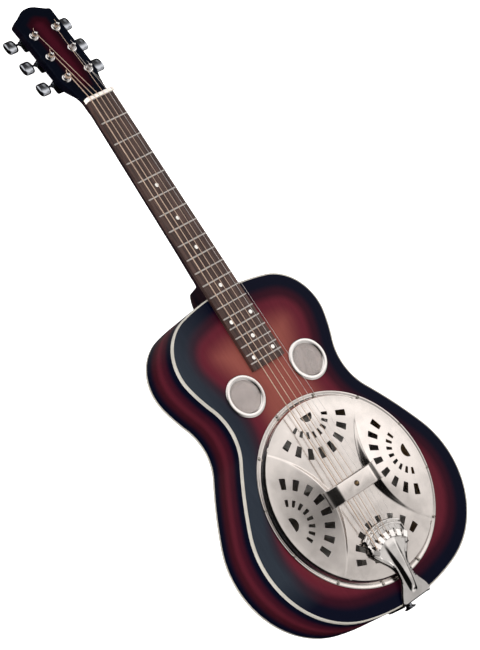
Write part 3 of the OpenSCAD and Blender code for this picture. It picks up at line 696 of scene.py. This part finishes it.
def add_soundboard():
    edge = outline(SIDE_T)
    holes = [circle_loop(0, 0, WELL_R, 160)]
    holes += [circle_loop(side * SCREEN_X, SCREEN_Y, SCREEN_R - 3.5, 48) for side in (-1, 1)]
    shape = slab([edge] + holes, grid([edge] + holes, 4.5), flat(TOP, TOP - PLATE_T))
    board = add_piece("soundboard_burst", shape, "burst_lacquer", ["soundboard"])
    set_rim(board, outline(SKIN, 6))


def add_back():
    edge = outline(SIDE_T)
    shape = slab([edge], grid([edge], 7), flat(PLATE_T, 0))
    back = add_piece("back_burst", shape, "back_lacquer", ["back_plate"])
    set_rim(back, outline(SKIN, 6))


def add_sides():
    profile = [(0, BINDING_H), (0, 20), (0, 42), (0, 65), (0, TOP - BINDING_H),
               (SIDE_T, TOP - BINDING_H), (SIDE_T, BINDING_H)]
    for name, side in (("bass", -1), ("treble", 1)):
        curves = [half_outline(SKIN + inset) for inset, _ in profile]
        rings = [[(side * curve[k][0], curve[k][1], z) for curve, (_, z) in zip(curves, profile)]
                 for k in range(len(curves[0]))]
        shape = loft(rings)
        add_piece(name + "_bent_side", shape if side < 0 else flipped(shape), "side_lacquer",
                  [name + "_side"])


def add_bindings():
    """Cream strips let in round both plates, with their outer corners eased."""
    strip = [(0, -BINDING_H), (0, -1.1), (0.12, -0.55), (0.42, -0.16), (0.95, 0),
             (SIDE_T, 0), (SIDE_T, -BINDING_H)]
    add_piece("top_binding_strip", swept_outline([(x, TOP + z) for x, z in strip]),
              "cream_binding", ["top_binding"])
    add_piece("back_binding_strip", flipped(swept_outline([(x, -z) for x, z in strip])),
              "cream_binding", ["back_binding"])


# ---- Neck and headstock ----

def board_half_w(y):
    return 23.8 + (28.2 - 23.8) * (SCALE - y) / (SCALE / 2)


def neck_ring(y, half_w, z_top, depth, roundness):
    """A round-backed section: a flat top and a full curve below."""
    steps = 44
    return [(half_w * copysign(abs(cos(a)) ** roundness, cos(a)), y, z_top - depth * sin(a) ** 0.8)
            for a in (pi * k / steps for k in range(steps + 1))]


def add_neck():
    """Sections give a place along the neck, a half width, a depth and how round the back is."""
    heel = [(323.6, 26, 66.5, 0.7), (334, 26.15, 62, 0.7), (341, 26.35, 57, 0.7),
            (344.6, 26.5, 52.8, 0.7), (345.7, 26.5, 50, 0.72), (346.3, 26.6, 44, 0.75),
            (346.8, 26.7, 34, 0.8), (347.5, 26.8, 26, 0.85), (349.5, 27, 22, 0.95),
            (354, 27.3, 20.3, 1)]
    shaft = [(y, board_half_w(y), depth, 1) for y, depth in ((362, 19.6), (375, 19), (410, 17.4),
                                                             (520, 16.3), (600, 15.6), (651, 15.1))]
    sections = spline(heel + shaft, 6)
    shaft = loft([neck_ring(y, w, TOP, depth, r) for y, w, depth, r in sections])
    volute = loft([neck_ring(y, w, TOP - 3 - 0.167 * max(y - 650, 0), depth, r)
                   for y, w, depth, r in spline([(622, 22.6, 11.4, 1), (634, 23.4, 12.6, 1),
                                                 (646, 23.8, 13.4, 0.92),
                                                 (657, 24.1, 13.6, 0.86)], 5)])
    add_piece("neck_shaft", flipped(join(shaft, volute)), "neck_lacquer", ["neck"], sharp=45)


def head_matrix():
    """Puts a shape on the headstock, whose frame has its origin on the face at the nut's end."""
    return Matrix.Translation((0, HEAD_Y, TOP - HEAD_DROP)) @ Matrix.Rotation(-HEAD_ANGLE, 4, "X")


def head_outline():
    """The headstock's plan, anticlockwise, in its own frame."""
    side = spline([(23.8, 1.5), (25.2, 14), (27.6, 25), (30.8, 35), (32.5, 45), (33.1, 62),
                   (33.6, 115), (34.3, 147)], 6)
    crown = spline([(34.35, 149.5), (32.9, 152.6), (27, 155.2), (20.5, 159), (13, 163.4),
                    (6.5, 165.7), (0, 166.3)], 5)
    right = np.vstack([side, crown])
    return np.vstack([right, right[-2::-1] * (-1, 1)])


def post_spots():
    """Each string post's number, side and place along the headstock."""
    for slot in range(6):
        side = -1 if slot < 3 else 1
        row = slot if slot < 3 else 5 - slot
        yield 6 - slot, side, POST_Y + POST_PITCH * row


def add_headstock():
    plan = head_outline()
    drill = lathe([(4.6, -HEAD_T - 1), (4.6, 2)], 32)
    drills = [placed(moved(drill, side * POST_X, y, 0), head_matrix()) for _, side, y in post_spots()]
    core = []
    for inset, down in ((1.6, 14), (0.7, 13.75), (0.2, 13.2), (0, 12.3), (0, 10), (0, 8), (0, 6),
                        (0, 4), (0, VENEER_T)):
        ring = shrunk(plan, inset)
        near_nut = 1 - smooth_step(ring[:, 1] / 34)
        ring[:, 0] *= 1 - 0.42 * near_nut * ((down - VENEER_T) / (HEAD_T - VENEER_T)) ** 2.2
        core.append(at_height(ring, -down))
    add_piece("headstock_core", placed(loft(core), head_matrix()), "neck_lacquer",
              cuts=[join(*drills)], finish="black_lacquer")

    holes = [circle_loop(side * POST_X, y, 4.6, 24) for _, side, y in post_spots()]
    loops = [plan] + holes
    rims = [shrunk(plan, d) for d in (0.25, 0.6, 1.1)]

    def surfaces(points):
        edge = distance_to(points, plan)
        upper = -0.45 * (1 - np.clip(edge / 0.9, 0, 1)) ** 2
        return np.column_stack([points, upper]), np.column_stack([points, edge * 0 - VENEER_T])

    spots = np.vstack(rims + [grid(loops, 3)])
    veneer = add_piece("headstock_face", placed(slab(loops, spots, surfaces), head_matrix()),
                       "head_lacquer", ["headstock_veneer"])
    set_rim(veneer, plan * (1, cos(HEAD_ANGLE)) + (0, HEAD_Y))


# ---- Cover plate ----

def channel_height(r):
    return 8.5 + 0.8 * smooth_step((WELL_R - r) / 30)


def field_height(r):
    return 8 + 9.5 * (np.clip(WELL_R - r, 0, 200) / 87.5) ** 1.6


def soft_max(a, b, k):
    h = np.clip(0.5 + 0.5 * (a - b) / k, 0, 1)
    return b + (a - b) * h + k * h * (1 - h)


def cover_height(x, y):
    """Height of the cover plate's face above the soundboard."""
    r = np.hypot(x, y)
    channel = channel_height(r)
    field = field_height(r)
    into_field = FIELD_EDGE_R - np.hypot(np.abs(x) - FIELD_EDGE_X, y)
    wall = -soft_max(-field, -(field + into_field * 1.05), 1.6)
    dome = soft_max(channel, wall, 1.3)
    ramp = COVER_T + 0.6 + (136.9 - r) * 2.0
    shell = -soft_max(-dome, -ramp, 1.0)
    flange = COVER_T + 0.55 * np.exp(-((r - 141.6) / 1.3) ** 2)
    return np.maximum(soft_max(shell, flange, 0.9), COVER_T * 0.4)


def fan_plans():
    """The slots of one fan, drawn on the treble side."""
    for near, far in ((51, 67), (27, 37)):
        for angle in (-65, -46.5, -28, -9.3, 9.3, 28, 46.5, 65):
            corners = []
            for radius, turns in ((near, (-4.2, 4.2)), (far, (4.2, 0, -4.2))):
                for turn in turns:
                    a = radians(180 + angle + turn)
                    corners.append((FAN_FOCUS + radius * cos(a), radius * sin(a)))
            yield rounded_loop(corners, 0.9, 3)
    bow = [(FAN_FOCUS - 2 + 10.5 * cos(a), 10.5 * sin(a)) for a in np.linspace(pi / 2, 1.5 * pi, 13)]
    yield rounded_loop(bow, 0.7, 2)


def cover_slots():
    for quarter in range(4):
        c, s = cos(quarter * pi / 2), sin(quarter * pi / 2)
        for plan in fan_plans():
            yield plan @ np.array([[c, s], [-s, c]])


def add_cover_plate():
    rim = circle_loop(0, 0, COVER_R - 0.05, 240)
    opening = rounded_loop([(-33.5, -9), (33.5, -9), (33.5, 9), (-33.5, 9)], 1.5)
    holes = list(cover_slots()) + [opening]
    lines = [circle_loop(0, 0, r, 240)
             for r in (142.7, 142.2, 141.4, 140, 138.9, 138.2, 137.6, 137, 136.2, 135.2, 134.2,
                       133.2, 132.4, 131.8, 131.2, 130.3)]
    for side in (-1, 1):
        for step in np.arange(-2.0, 11.0, 0.9):
            radius = FIELD_EDGE_R + step
            spread = np.linspace(-0.86, 0.86, 190)
            lines.append(np.column_stack([side * (FIELD_EDGE_X - radius * np.cos(spread)),
                                          radius * np.sin(spread)]))

    def from_wall(points):
        """Distance from the middle of the slope between a side field and the channel."""
        to_centre = np.hypot(np.abs(points[:, 0]) - FIELD_EDGE_X, points[:, 1])
        return np.abs(FIELD_EDGE_R + 4.5 - to_centre)

    lines = np.vstack(lines)
    lines = lines[(np.hypot(*lines.T) >= 129.5) | (from_wall(lines) <= 7)]
    spots = grid([rim] + holes, 3.2)
    spots = spots[(np.hypot(*spots.T) < 129) & (from_wall(spots) > 7.6)]
    spots = np.vstack([clear_of(lines, [rim] + holes, 0.25), spots])

    def surfaces(plan):
        x, y = plan.T
        upper = cover_height(x, y)
        h = 0.05
        lean = unit(np.column_stack([(cover_height(x - h, y) - cover_height(x + h, y)) / (2 * h),
                                     (cover_height(x, y - h) - cover_height(x, y + h)) / (2 * h),
                                     np.ones(len(plan))]))
        lean[np.hypot(x, y) > 138] = (0, 0, 1)
        top_points = np.column_stack([plan, TOP + upper])
        low = top_points - lean * (COVER_T - 0.1)
        low[:, 2] = np.maximum(low[:, 2], TOP + 0.02)
        return top_points, low

    add_piece("pressed_cover", slab([rim] + holes, spots, surfaces), "nickel_plate",
              ["cover_plate"], sharp=40)


def screw_head(radius, height):
    """A domed head with its lower face at z = 0, and the cutters of its cross recess."""
    dome = [(radius * 0.55, -0.6), (radius * 0.97, 0.0), (radius, 0.25 * height)]
    dome += [(radius * cos(a), height * (0.25 + 0.75 * sin(a))) for a in np.radians([20, 40, 60, 78])]
    slot = bar(radius * 1.15, height * 1.2, radius * 0.26)
    cutters = [moved(placed(slot, Matrix.Rotation(turn, 4, "Z")), 0, 0, height * 1.15)
               for turn in (0.4, 0.4 + pi / 2)]
    return lathe(dome, 28), cutters


def add_screw(name, head_size, others, place, slot, replaced):
    """A cross-head screw, drawn with its head's lower face at z = 0."""
    head, cutters = screw_head(*head_size)
    add_piece(name, placed(join(head, *others), place), slot, [replaced],
              cuts=[placed(cutter, place) for cutter in cutters])


def add_cover_screws():
    head, cutters = screw_head(2.55, 1.55)
    whole = new_object("screw", head)
    carve(whole, *cutters)
    mesh = whole.data
    points = np.array([tuple(v.co) for v in mesh.vertices]) / MM
    faces = [tuple(face.vertices) for face in mesh.polygons]
    bpy.data.objects.remove(whole)
    shank = lathe([(0.6, -9.1), (1.05, -7.6), (1.05, 0.2)], 16)
    screws = []
    for k in range(12):
        a = (k + 0.5) * pi / 6
        turned = placed((points, faces), Matrix.Rotation(a + 0.9 * k, 4, "Z"))
        screws.append(moved(join(turned, shank), COVER_SCREW_R * cos(a), COVER_SCREW_R * sin(a),
                            TOP + COVER_T + 0.1))
    add_piece("cover_screw_heads", join(*screws), "screw_nickel", ["cover_screws"])


def add_palm_rest():
    """A bent strap over the saddle, with its long edges turned down."""
    foot_z = TOP + 17.5
    half = rounded([(0, PALM_TOP), (33, PALM_TOP), (45.5, foot_z + COVER_T),
                    (51, foot_z + COVER_T - 0.9)], 3, 9)
    path = np.vstack([half[:0:-1] * (-1, 1), half])
    along = unit(np.gradient(path, axis=0))
    normal = np.column_stack([-along[:, 1], along[:, 0]])
    rings = []
    for (x, z), (nx, nz) in zip(path, normal):
        lip = 2.6 * float(smooth_step((abs(x) - 47) / -3.0))
        out, within = 13.35, 12.25
        outer = rounded([(-out, -0.9 - lip), (-out, 0), (out, 0), (out, -0.9 - lip)], 3.0, 5)
        inner = rounded([(within, -1.0 - lip), (within, -1.1), (-within, -1.1),
                         (-within, -1.0 - lip)], 0.9, 4)
        section = np.vstack([outer, inner])
        rings.append([(x + nx * depth, y, z + nz * depth) for y, depth in section])
    hole = lathe([(4.3, PALM_TOP - 6), (4.3, PALM_TOP + 3)], 40)
    add_piece("palm_rest_strap", loft(rings), "nickel_plate", ["palm_rest"], cuts=[hole], sharp=40)


def add_tension_screw():
    """The screw through the spider and the cone, with its nut under the cone."""
    low, high = (corner[2] for corner in cad("tension_screw"))
    z = high - 2.3
    foot = low - z
    shank = lathe([(1.9, foot + 0.1), (1.9, 0.2)], 20)
    nut = lathe([(1.7, foot + 1.1), (3.6, foot + 1.1), (3.9, foot + 1.5), (3.9, foot + 3.5),
                 (3.6, foot + 3.9), (1.7, foot + 3.9)], 6)
    add_screw("cone_screw", (3.7, 2.2), [shank, nut], Matrix.Translation((0, 0, z)), "brass_screw",
              "tension_screw")


# ---- Screens ----

def add_screens():
    profile = [(24.7, -12), (26.6, -12), (26.6, 0.02), (31.2, 0.02), (31.45, 0.3), (31.45, 1.4),
               (31.25, 2.0), (30.8, 2.45), (30.0, 2.7), (28.4, 2.78), (26.8, 2.74), (25.4, 2.58),
               (24.3, 2.2), (23.7, 1.7), (23.5, 1.1), (23.7, 0.6), (24.7, 0.5)]
    ring = lathe(profile, 96, closed=True)
    rings = [moved(ring, side * SCREEN_X, SCREEN_Y, TOP) for side in (-1, 1)]
    add_piece("screen_bezels", join(*rings), "screen_bezel", ["screen_rings"], sharp=50)

    pitch, reach, wire_r = 1.3, 24.4, 0.27
    count = int(reach / pitch)
    wires = []
    for row in range(-count, count + 1):
        across = row * pitch
        half = sqrt(reach ** 2 - across ** 2)
        if half < 2:
            continue
        steps = np.arange(-half, half + 0.01, pitch / 3)
        for turned in (False, True):
            wave = 0.26 * np.cos(pi * (steps / pitch + row + turned))
            line = np.column_stack([steps, np.full(len(steps), across), wave])
            if turned:
                line = line[:, [1, 0, 2]]
            wires.append(tube(line, wire_r, 5))
    discs = [moved(join(*wires), side * SCREEN_X, SCREEN_Y, TOP - 0.15) for side in (-1, 1)]
    add_piece("woven_screens", join(*discs), "screen_mesh", ["screen_meshes"], sharp=80)


# ---- Tailpiece and strap button ----

def tail_half_w(y):
    """Half the tailpiece's width: a fan, a waist from y = -131 to -142, and a flared end."""
    fan = (TAIL_FAN_W - TAIL_WAIST_W) * smooth_step((y + 131) / 41)
    flare = (TAIL_FLANGE_W - TAIL_WAIST_W) * smooth_step((-142 - y) / 34.5)
    return TAIL_WAIST_W + float(fan + flare)


def tail_path():
    """The sheet's outer face in profile, as place and height, from the front to the flange's end."""
    t, end = TAIL_T, TAIL_END_Y - 1.6
    return rounded([(TAIL_FRONT_Y, TAIL_HEAD_Z + t), (-92, TAIL_HEAD_Z + t), (-133, TOP + 9.7 + t),
                    (-170, TOP + 2.3 + t), (end, TOP + 2.1), (end, TOP - 39.8)], 8, 8)


def on_tail_path(distance, lift):
    """Points on the sheet: distances down its profile, and heights off its outer face."""
    path = tail_path()
    lengths = np.concatenate([[0], np.cumsum(np.hypot(*np.diff(path, axis=0).T))])
    along = unit(np.gradient(path, axis=0))
    y, z = (np.interp(distance, lengths, path[:, k]) for k in (0, 1))
    ay, az = (np.interp(distance, lengths, along[:, k]) for k in (0, 1))
    size = np.hypot(ay, az)
    return y + lift * az / size, z - lift * ay / size


def tail_point(radius, degrees):
    a = radians(degrees)
    return radius * sin(a), TAIL_CENTRE_Y + radius * cos(a)


def tail_tooth(number):
    """One of the seven teeth between the strings, with a top that slopes to the front."""
    middle = (number - 3) * STRING_ANGLE
    half, slope = 3.4 if number in (0, 6) else 3.9, 0.18
    back, front = 37.0, 47.6
    rings = []
    for inset, z in ((0, 0.8), (0, 3.6), (0.15, 4.0), (0.5, 4.2)):
        near, far = back + inset, front - inset
        ring = rounded_loop([tail_point(r, middle + sign * np.degrees((half - inset) / r))
                             for r, sign in ((near, 1), (far, 1), (far, -1), (near, -1))], 0.8, 3)
        forward = np.hypot(ring[:, 0], ring[:, 1] - TAIL_CENTRE_Y) - (back + front) / 2
        heights = TAIL_HEAD_Z + z - forward * (slope if z > 1 else 0)
        rings.append(np.column_stack([ring, heights]))
    return loft(rings)


def add_tailpiece():
    """A fan-shaped strap: a rolled front edge, a band of teeth and a raised rib down the middle."""
    start = TAIL_FRONT_Y
    path = tail_path()
    total = np.sum(np.hypot(*np.diff(path, axis=0).T))
    tail_bend = np.sum(np.hypot(*np.diff(path[path[:, 0] > TAIL_END_Y - 1], axis=0).T))
    front = [(x, start - (TAIL_CENTRE_Y + sqrt(64 ** 2 - x * x)))
             for x in np.linspace(-TAIL_FAN_W, TAIL_FAN_W, 41)]
    downs = np.concatenate([np.arange(36, 120, 3.0), [tail_bend + 2, total]])
    right = [(tail_half_w(max(start - s, TAIL_END_Y)), s) for s in downs]
    left = [(-x, s) for x, s in reversed(right)]
    loop = rounded_loop(np.array(front + right + left)[::-1], 1.2, 2)

    def surfaces(plan):
        x, s = plan.T
        y = start - s
        rib_foot = np.interp(-y, (90, 125, 160), (13.6, 10.4, 7.6))
        rise = sum(np.interp(d - y, (88, 132, 150, 160, 169), (0, 4.1, 5.2, 4.6, 0))
                   for d in (-3, 0, 3)) / 3
        rib = rise * smooth_step((rib_foot - np.abs(x)) / 6.0)
        edge = np.clip(distance_to(plan, loop) / 1.6, 0, 1)
        hem = 0.8 * np.exp(-((distance_to(plan, loop) - 2.3) / 0.9) ** 2)
        lift = rib + hem - 0.9 * (1 - edge) ** 2
        upper = np.column_stack([x, *on_tail_path(s, lift)])
        lower = np.column_stack([x, *on_tail_path(s, lift - TAIL_T + 0.15)])
        return upper, lower

    rib_lines = [np.column_stack([np.full(60, x), np.linspace(38, 114, 60)])
                 for x in np.linspace(-13, 13, 27)]
    bend_lines = [np.column_stack([np.linspace(-28, 28, 29), np.full(29, s)])
                  for s in tail_bend + np.arange(-5, 6, 0.8)]
    rims = [shrunk(loop, d) for d in (0.3, 0.7, 1.2)]
    slots = []
    for k in range(6):
        corners = [tail_point(r, STRING_ANGLE * (k - 2.5) + np.degrees(half / r))
                   for r, half in ((43.2, -1.3), (49.5, -1.3), (49.5, 1.3), (43.2, 1.3))]
        slots.append(rounded_loop([(x, start - y) for x, y in corners], 0.6, 2)[::-1])
    spots = np.vstack([grid([loop] + slots, 2.6)] + rib_lines + bend_lines)
    spots = clear_of(spots, [loop] + slots, 0.9)
    spots = np.vstack([spots] + [clear_of(r, [loop], 0.15) for r in rims])
    sheet = slab([loop] + slots, spots, surfaces)

    angles = np.linspace(-34.4, 34.4, 45)
    roll = tube([(*tail_point(61.7, a), TAIL_HEAD_Z + 1.1) for a in angles], 2.2, 16)
    bead = tube([(*tail_point(56.4, a * 1.05), TAIL_HEAD_Z + 1.1) for a in angles], 2.2, 16)
    add_piece("fan_tailpiece", join(sheet, roll, bead), "tailpiece_chrome", ["tailpiece"], sharp=42)
    add_piece("fan_teeth", join(*[tail_tooth(k) for k in range(7)]), "tailpiece_chrome", sharp=20)


def add_strap_button():
    profile = [(2.2, 0), (5.8, 0), (6, 0.4), (5.9, 0.9), (5.3, 1.4), (4.9, 2.2), (4.8, 3.4), (5, 4.6),
               (5.6, 5.6), (7.2, 6.3), (8.5, 6.9), (8.95, 7.6), (8.8, 8.2), (8.2, 8.7), (7, 8.95),
               (4.6, 8.95), (4.0, 8.6), (3.9, 7.0), (2.2, 7.0)]
    turn = Matrix.Translation((0, STRAP_Y, STRAP_Z)) @ Matrix.Rotation(pi / 2, 4, "X")
    add_piece("strap_button_turned", placed(lathe(profile, 64, closed=True), turn), "tuner_chrome",
              ["strap_button"])
    shank = lathe([(0.5, -26), (1.9, -22), (1.9, 0)], 20)
    add_screw("strap_button_screw", (3.6, 1.3), [shank], turn @ Matrix.Translation((0, 0, 7)),
              "steel_hardware", "strap_screw")


# ---- Strings ----

def from_head(x, y, z):
    return np.array(head_matrix() @ Vector((x, y, z)))


def ball_place(slot):
    return (*tail_point(TAIL_BALL_R, STRING_ANGLE * (slot - 2.5)), BALL_Z)


def string_route(slot):
    """From the ball end over the saddle and the nut to the turns round the post."""
    _, side, post_y = list(post_spots())[slot]
    gauge = GAUGE_R[slot]
    reach = POST_R + WRAP_GAP + gauge
    spread = slot / 5 - 0.5
    saddle = (SADDLE_SPREAD * spread, 0, TOP + SADDLE_STRING_H)
    nut = (NUT_SPREAD * spread, SCALE, TOP + NUT_STRING_H)
    turns = []
    for step in range(WRAP_TURNS * 28 + 1):
        a = 2 * pi * step / 28
        lift = (2 * gauge + 0.15) * a / (2 * pi)
        turns.append(from_head(side * (POST_X - reach * cos(a)), post_y + reach * sin(a),
                               WRAP_H + lift))
    straight = rounded([ball_place(slot), saddle, nut, turns[0]], 2.5, 3)
    return np.vstack([straight[:-1], turns])


def add_strings():
    barrel = lathe([(0.5, -1.5), (1.55, -1.5), (1.85, -1.2), (1.85, -0.5), (1.6, -0.3), (1.6, 0.3),
                    (1.85, 0.5), (1.85, 1.2), (1.55, 1.5), (0.5, 1.5)], 24)
    balls = []
    for slot, name in enumerate(STRING_NAMES):
        wire = tube(string_route(slot), GAUGE_R[slot], 10)
        kind = "wound_string" if slot < 4 else "plain_string"
        add_piece(name + "_wire", flipped(wire), kind, [name], sharp=60)
        balls.append(moved(along_x(barrel), *ball_place(slot)))
    add_piece("string_balls", join(*balls), "plain_string", sharp=60)


def add_string_tails():
    """The clipped end of each string, held in its post's hole."""
    for (number, side, y), gauge in zip(post_spots(), GAUGE_R):
        z = POST_TOP - 2.1
        route = spline([(0, -2.6, z), (0, 2.6, z), (0, 4.4, z + 0.1), (-side * 0.5, 6.2, z + 0.7),
                        (-side * 1.3, 7.4, z + 1.2)], 5)
        route = [from_head(side * POST_X + px, y + py, pz) for px, py, pz in route]
        kind = "wound_string" if number > 2 else "plain_string"
        add_piece(f"string_tail_{number}", flipped(tube(route, gauge * 0.9, 10)), kind,
                  body=f"post_{number}", sharp=60)


# ---- Tuners ----

def at_post(shape, side, y):
    """Puts a shape drawn for a treble post, with +X outwards, at its post."""
    if side < 0:
        shape = mirrored(shape)
    return placed(moved(shape, side * POST_X, y, 0), head_matrix())


def rounded_box(width, length, radius, levels):
    """A box with rounded upright edges, its plan shrunk by each level's inset."""
    corners = np.array([(-1, -1), (1, -1), (1, 1), (-1, 1)]) * (width / 2, length / 2)
    rings = []
    for inset, z in levels:
        scale = (1 - 2 * inset / width, 1 - 2 * inset / length)
        rings.append(at_height(rounded_loop(corners * scale, radius, 6), z))
    return loft(rings)


def string_post():
    turned = [(1.2, -22.9), (1.45, -22.6), (1.45, -20.8), (3.0, -20.8), (3.0, 2.6), (2.86, 3.1),
              (2.86, 7.0), (3.0, 7.3), (3.0, 8.9), (2.8, 9.5), (2.3, 10.0), (1.6, 10.3), (0.8, 10.46),
              (0.3, 10.5)]
    wheel = [[(r * cos(a), r * sin(a), z) for a, r in
              ((2 * pi * k / 84, radius - 0.4 * (0.5 + 0.5 * cos(2 * pi * k / 6))) for k in range(84))]
             for radius, z in ((4.3, -20.8), (4.7, -20.4), (4.7, -17.6), (4.3, -17.2))]
    return join(lathe(turned, 40), loft(wheel))


def tuner_button():
    """A broad button drawn along +X from its shaft, with rounded corners."""
    length, rings = 18.2, []
    for t in np.concatenate([np.linspace(0, 0.12, 7), np.linspace(0.16, 0.84, 18),
                             np.linspace(0.88, 1, 7)]):
        swell = max(1 - abs(2 * t - 1) ** 5.0, 0.0) ** 0.34
        half_y = max(10.4 * swell, 3.0 if t < 0.5 else 1.2)
        half_z = max(4.2 * swell * (0.80 + 0.20 * abs(2 * t - 1) ** 1.5), 2.6 if t < 0.5 else 0.6)
        ring = []
        for k in range(40):
            a = 2 * pi * k / 40
            y = half_y * copysign(abs(cos(a)) ** 0.8, cos(a))
            z = half_z * copysign(abs(sin(a)) ** 0.9, sin(a))
            ring.append((t * length, y, z))
        rings.append(ring)
    return loft(rings)


def housing():
    """The gearbox under one post, with its screw ear and the sleeve through the wood."""
    base, deep = -HEAD_T, -HEAD_T - 10
    box = rounded_box(22, 20, 3.2, [(2.6, deep), (1.5, deep + 0.25), (0.6, deep + 0.9),
                                    (0.12, deep + 1.9), (0, deep + 3), (0, base - 1.2), (0.3, base)])
    lid = rounded_box(15, 13, 3, [(0.5, deep), (0.0, deep + 0.3)])
    ear = loft([at_height(rounded_loop([(-16.3, -3.4), (-7, -3.4), (-7, 3.4), (-16.3, 3.4)], 3.3, 6), z)
                for z in (base - 2, base)])
    sleeve = lathe([(3.06, -15), (3.95, -15), (3.95, 2.1), (3.06, 2.1)], 36, closed=True)
    return join(moved(box, 1.5, 2, 0), moved(lid, 1.5, 2, 0), ear, sleeve)


def hex_nut():
    """A washer and a chamfered hexagonal nut with a clear bore."""
    steps = 60

    def ring(limit, z):
        points = []
        for k in range(steps):
            a = 2 * pi * k / steps
            flat_r = 4.85 / cos((a + pi / 6) % (pi / 3) - pi / 6)
            points.append((min(flat_r, limit) * cos(a), min(flat_r, limit) * sin(a), z))
        return points
    nut = loft([circle(3.25, 0.5, steps), ring(5.1, 0.9), ring(5.6, 1.1), ring(5.6, 1.5), ring(5.2, 1.85),
                circle(4.5, 2.45, steps), circle(3.8, 2.9, steps), circle(3.45, 2.98, steps),
                circle(3.25, 2.7, steps)], closed=True)
    washer = lathe([(4.1, 0.02), (6.85, 0.02), (6.98, 0.2), (6.8, 0.42), (6.3, 0.68), (5.7, 0.86),
                    (5.0, 0.95), (4.1, 0.95)], 56, closed=True)
    return join(nut, washer)


def add_tuners():
    hole = placed(lathe([(0.95, -5), (0.95, 5)], 20), Matrix.Rotation(-pi / 2, 4, "X"))
    hole = moved(hole, 0, 0, POST_TOP - 2.1)
    button = moved(tuner_button(), 41.25 - POST_X, WORM_Y, -WORM_Z)
    head = placed(screw_head(2.3, 1.1)[0], Matrix.Rotation(pi, 4, "X"))
    shank = lathe([(1.0, 0), (1.0, 6), (0.5, 8)], 16)
    screw = moved(join(head, shank), -13, 0, -HEAD_T - 2)
    nuts, boxes, screws = [], [], []
    for number, side, y in post_spots():
        add_piece(f"capstan_{number}", at_post(string_post(), side, y), "tuner_chrome",
                  [f"string_post_{number}"], f"post_{number}", 40, [at_post(hole, side, y)],
                  "bright_chrome")
        add_piece(f"button_{number}", at_post(button, side, y), "tuner_chrome",
                  [f"tuner_button_{number}"], f"key_{number}", 50)
        nuts.append(at_post(hex_nut(), side, y))
        boxes.append(at_post(housing(), side, y))
        screws.append(at_post(screw, side, y))
    add_piece("tuner_nuts", join(*nuts), "tuner_chrome", ["post_nuts"], finish="bright_chrome")
    add_piece("tuner_gearboxes", join(*boxes), "tuner_chrome", ["tuner_housings"])
    add_piece("tuner_fixing_screws", join(*screws), "screw_nickel", ["tuner_screws"])


# ---- CAD nodes that stay as they are, in their own finishes ----

def finish_cad_nodes():
    slots = {part["node"]: part["material_slot"] for part in frame["record"]["subparts"]}
    for name, item in frame["nodes"].items():
        if not item.hide_render:
            for holder in item.material_slots:
                holder.material = MATERIALS[slots[name]]


add_camera()
scene.view_settings.view_transform = "Standard"
add_world()
add_soft_light("fill_from_bass", (-1.9, 0.2, 1.0), (0, 0.1, 0.05), 1.6, 36)
add_soft_light("fill_from_above", (0.3, 0.2, 2.6), (0, 0.2, 0.05), 2.2, 44)
add_floor()
make_materials()
add_soundboard()
add_back()
add_sides()
add_bindings()
add_neck()
add_headstock()
add_cover_plate()
add_cover_screws()
add_palm_rest()
add_tension_screw()
add_screens()
add_tailpiece()
add_strap_button()
add_strings()
add_string_tails()
add_tuners()
finish_cad_nodes()
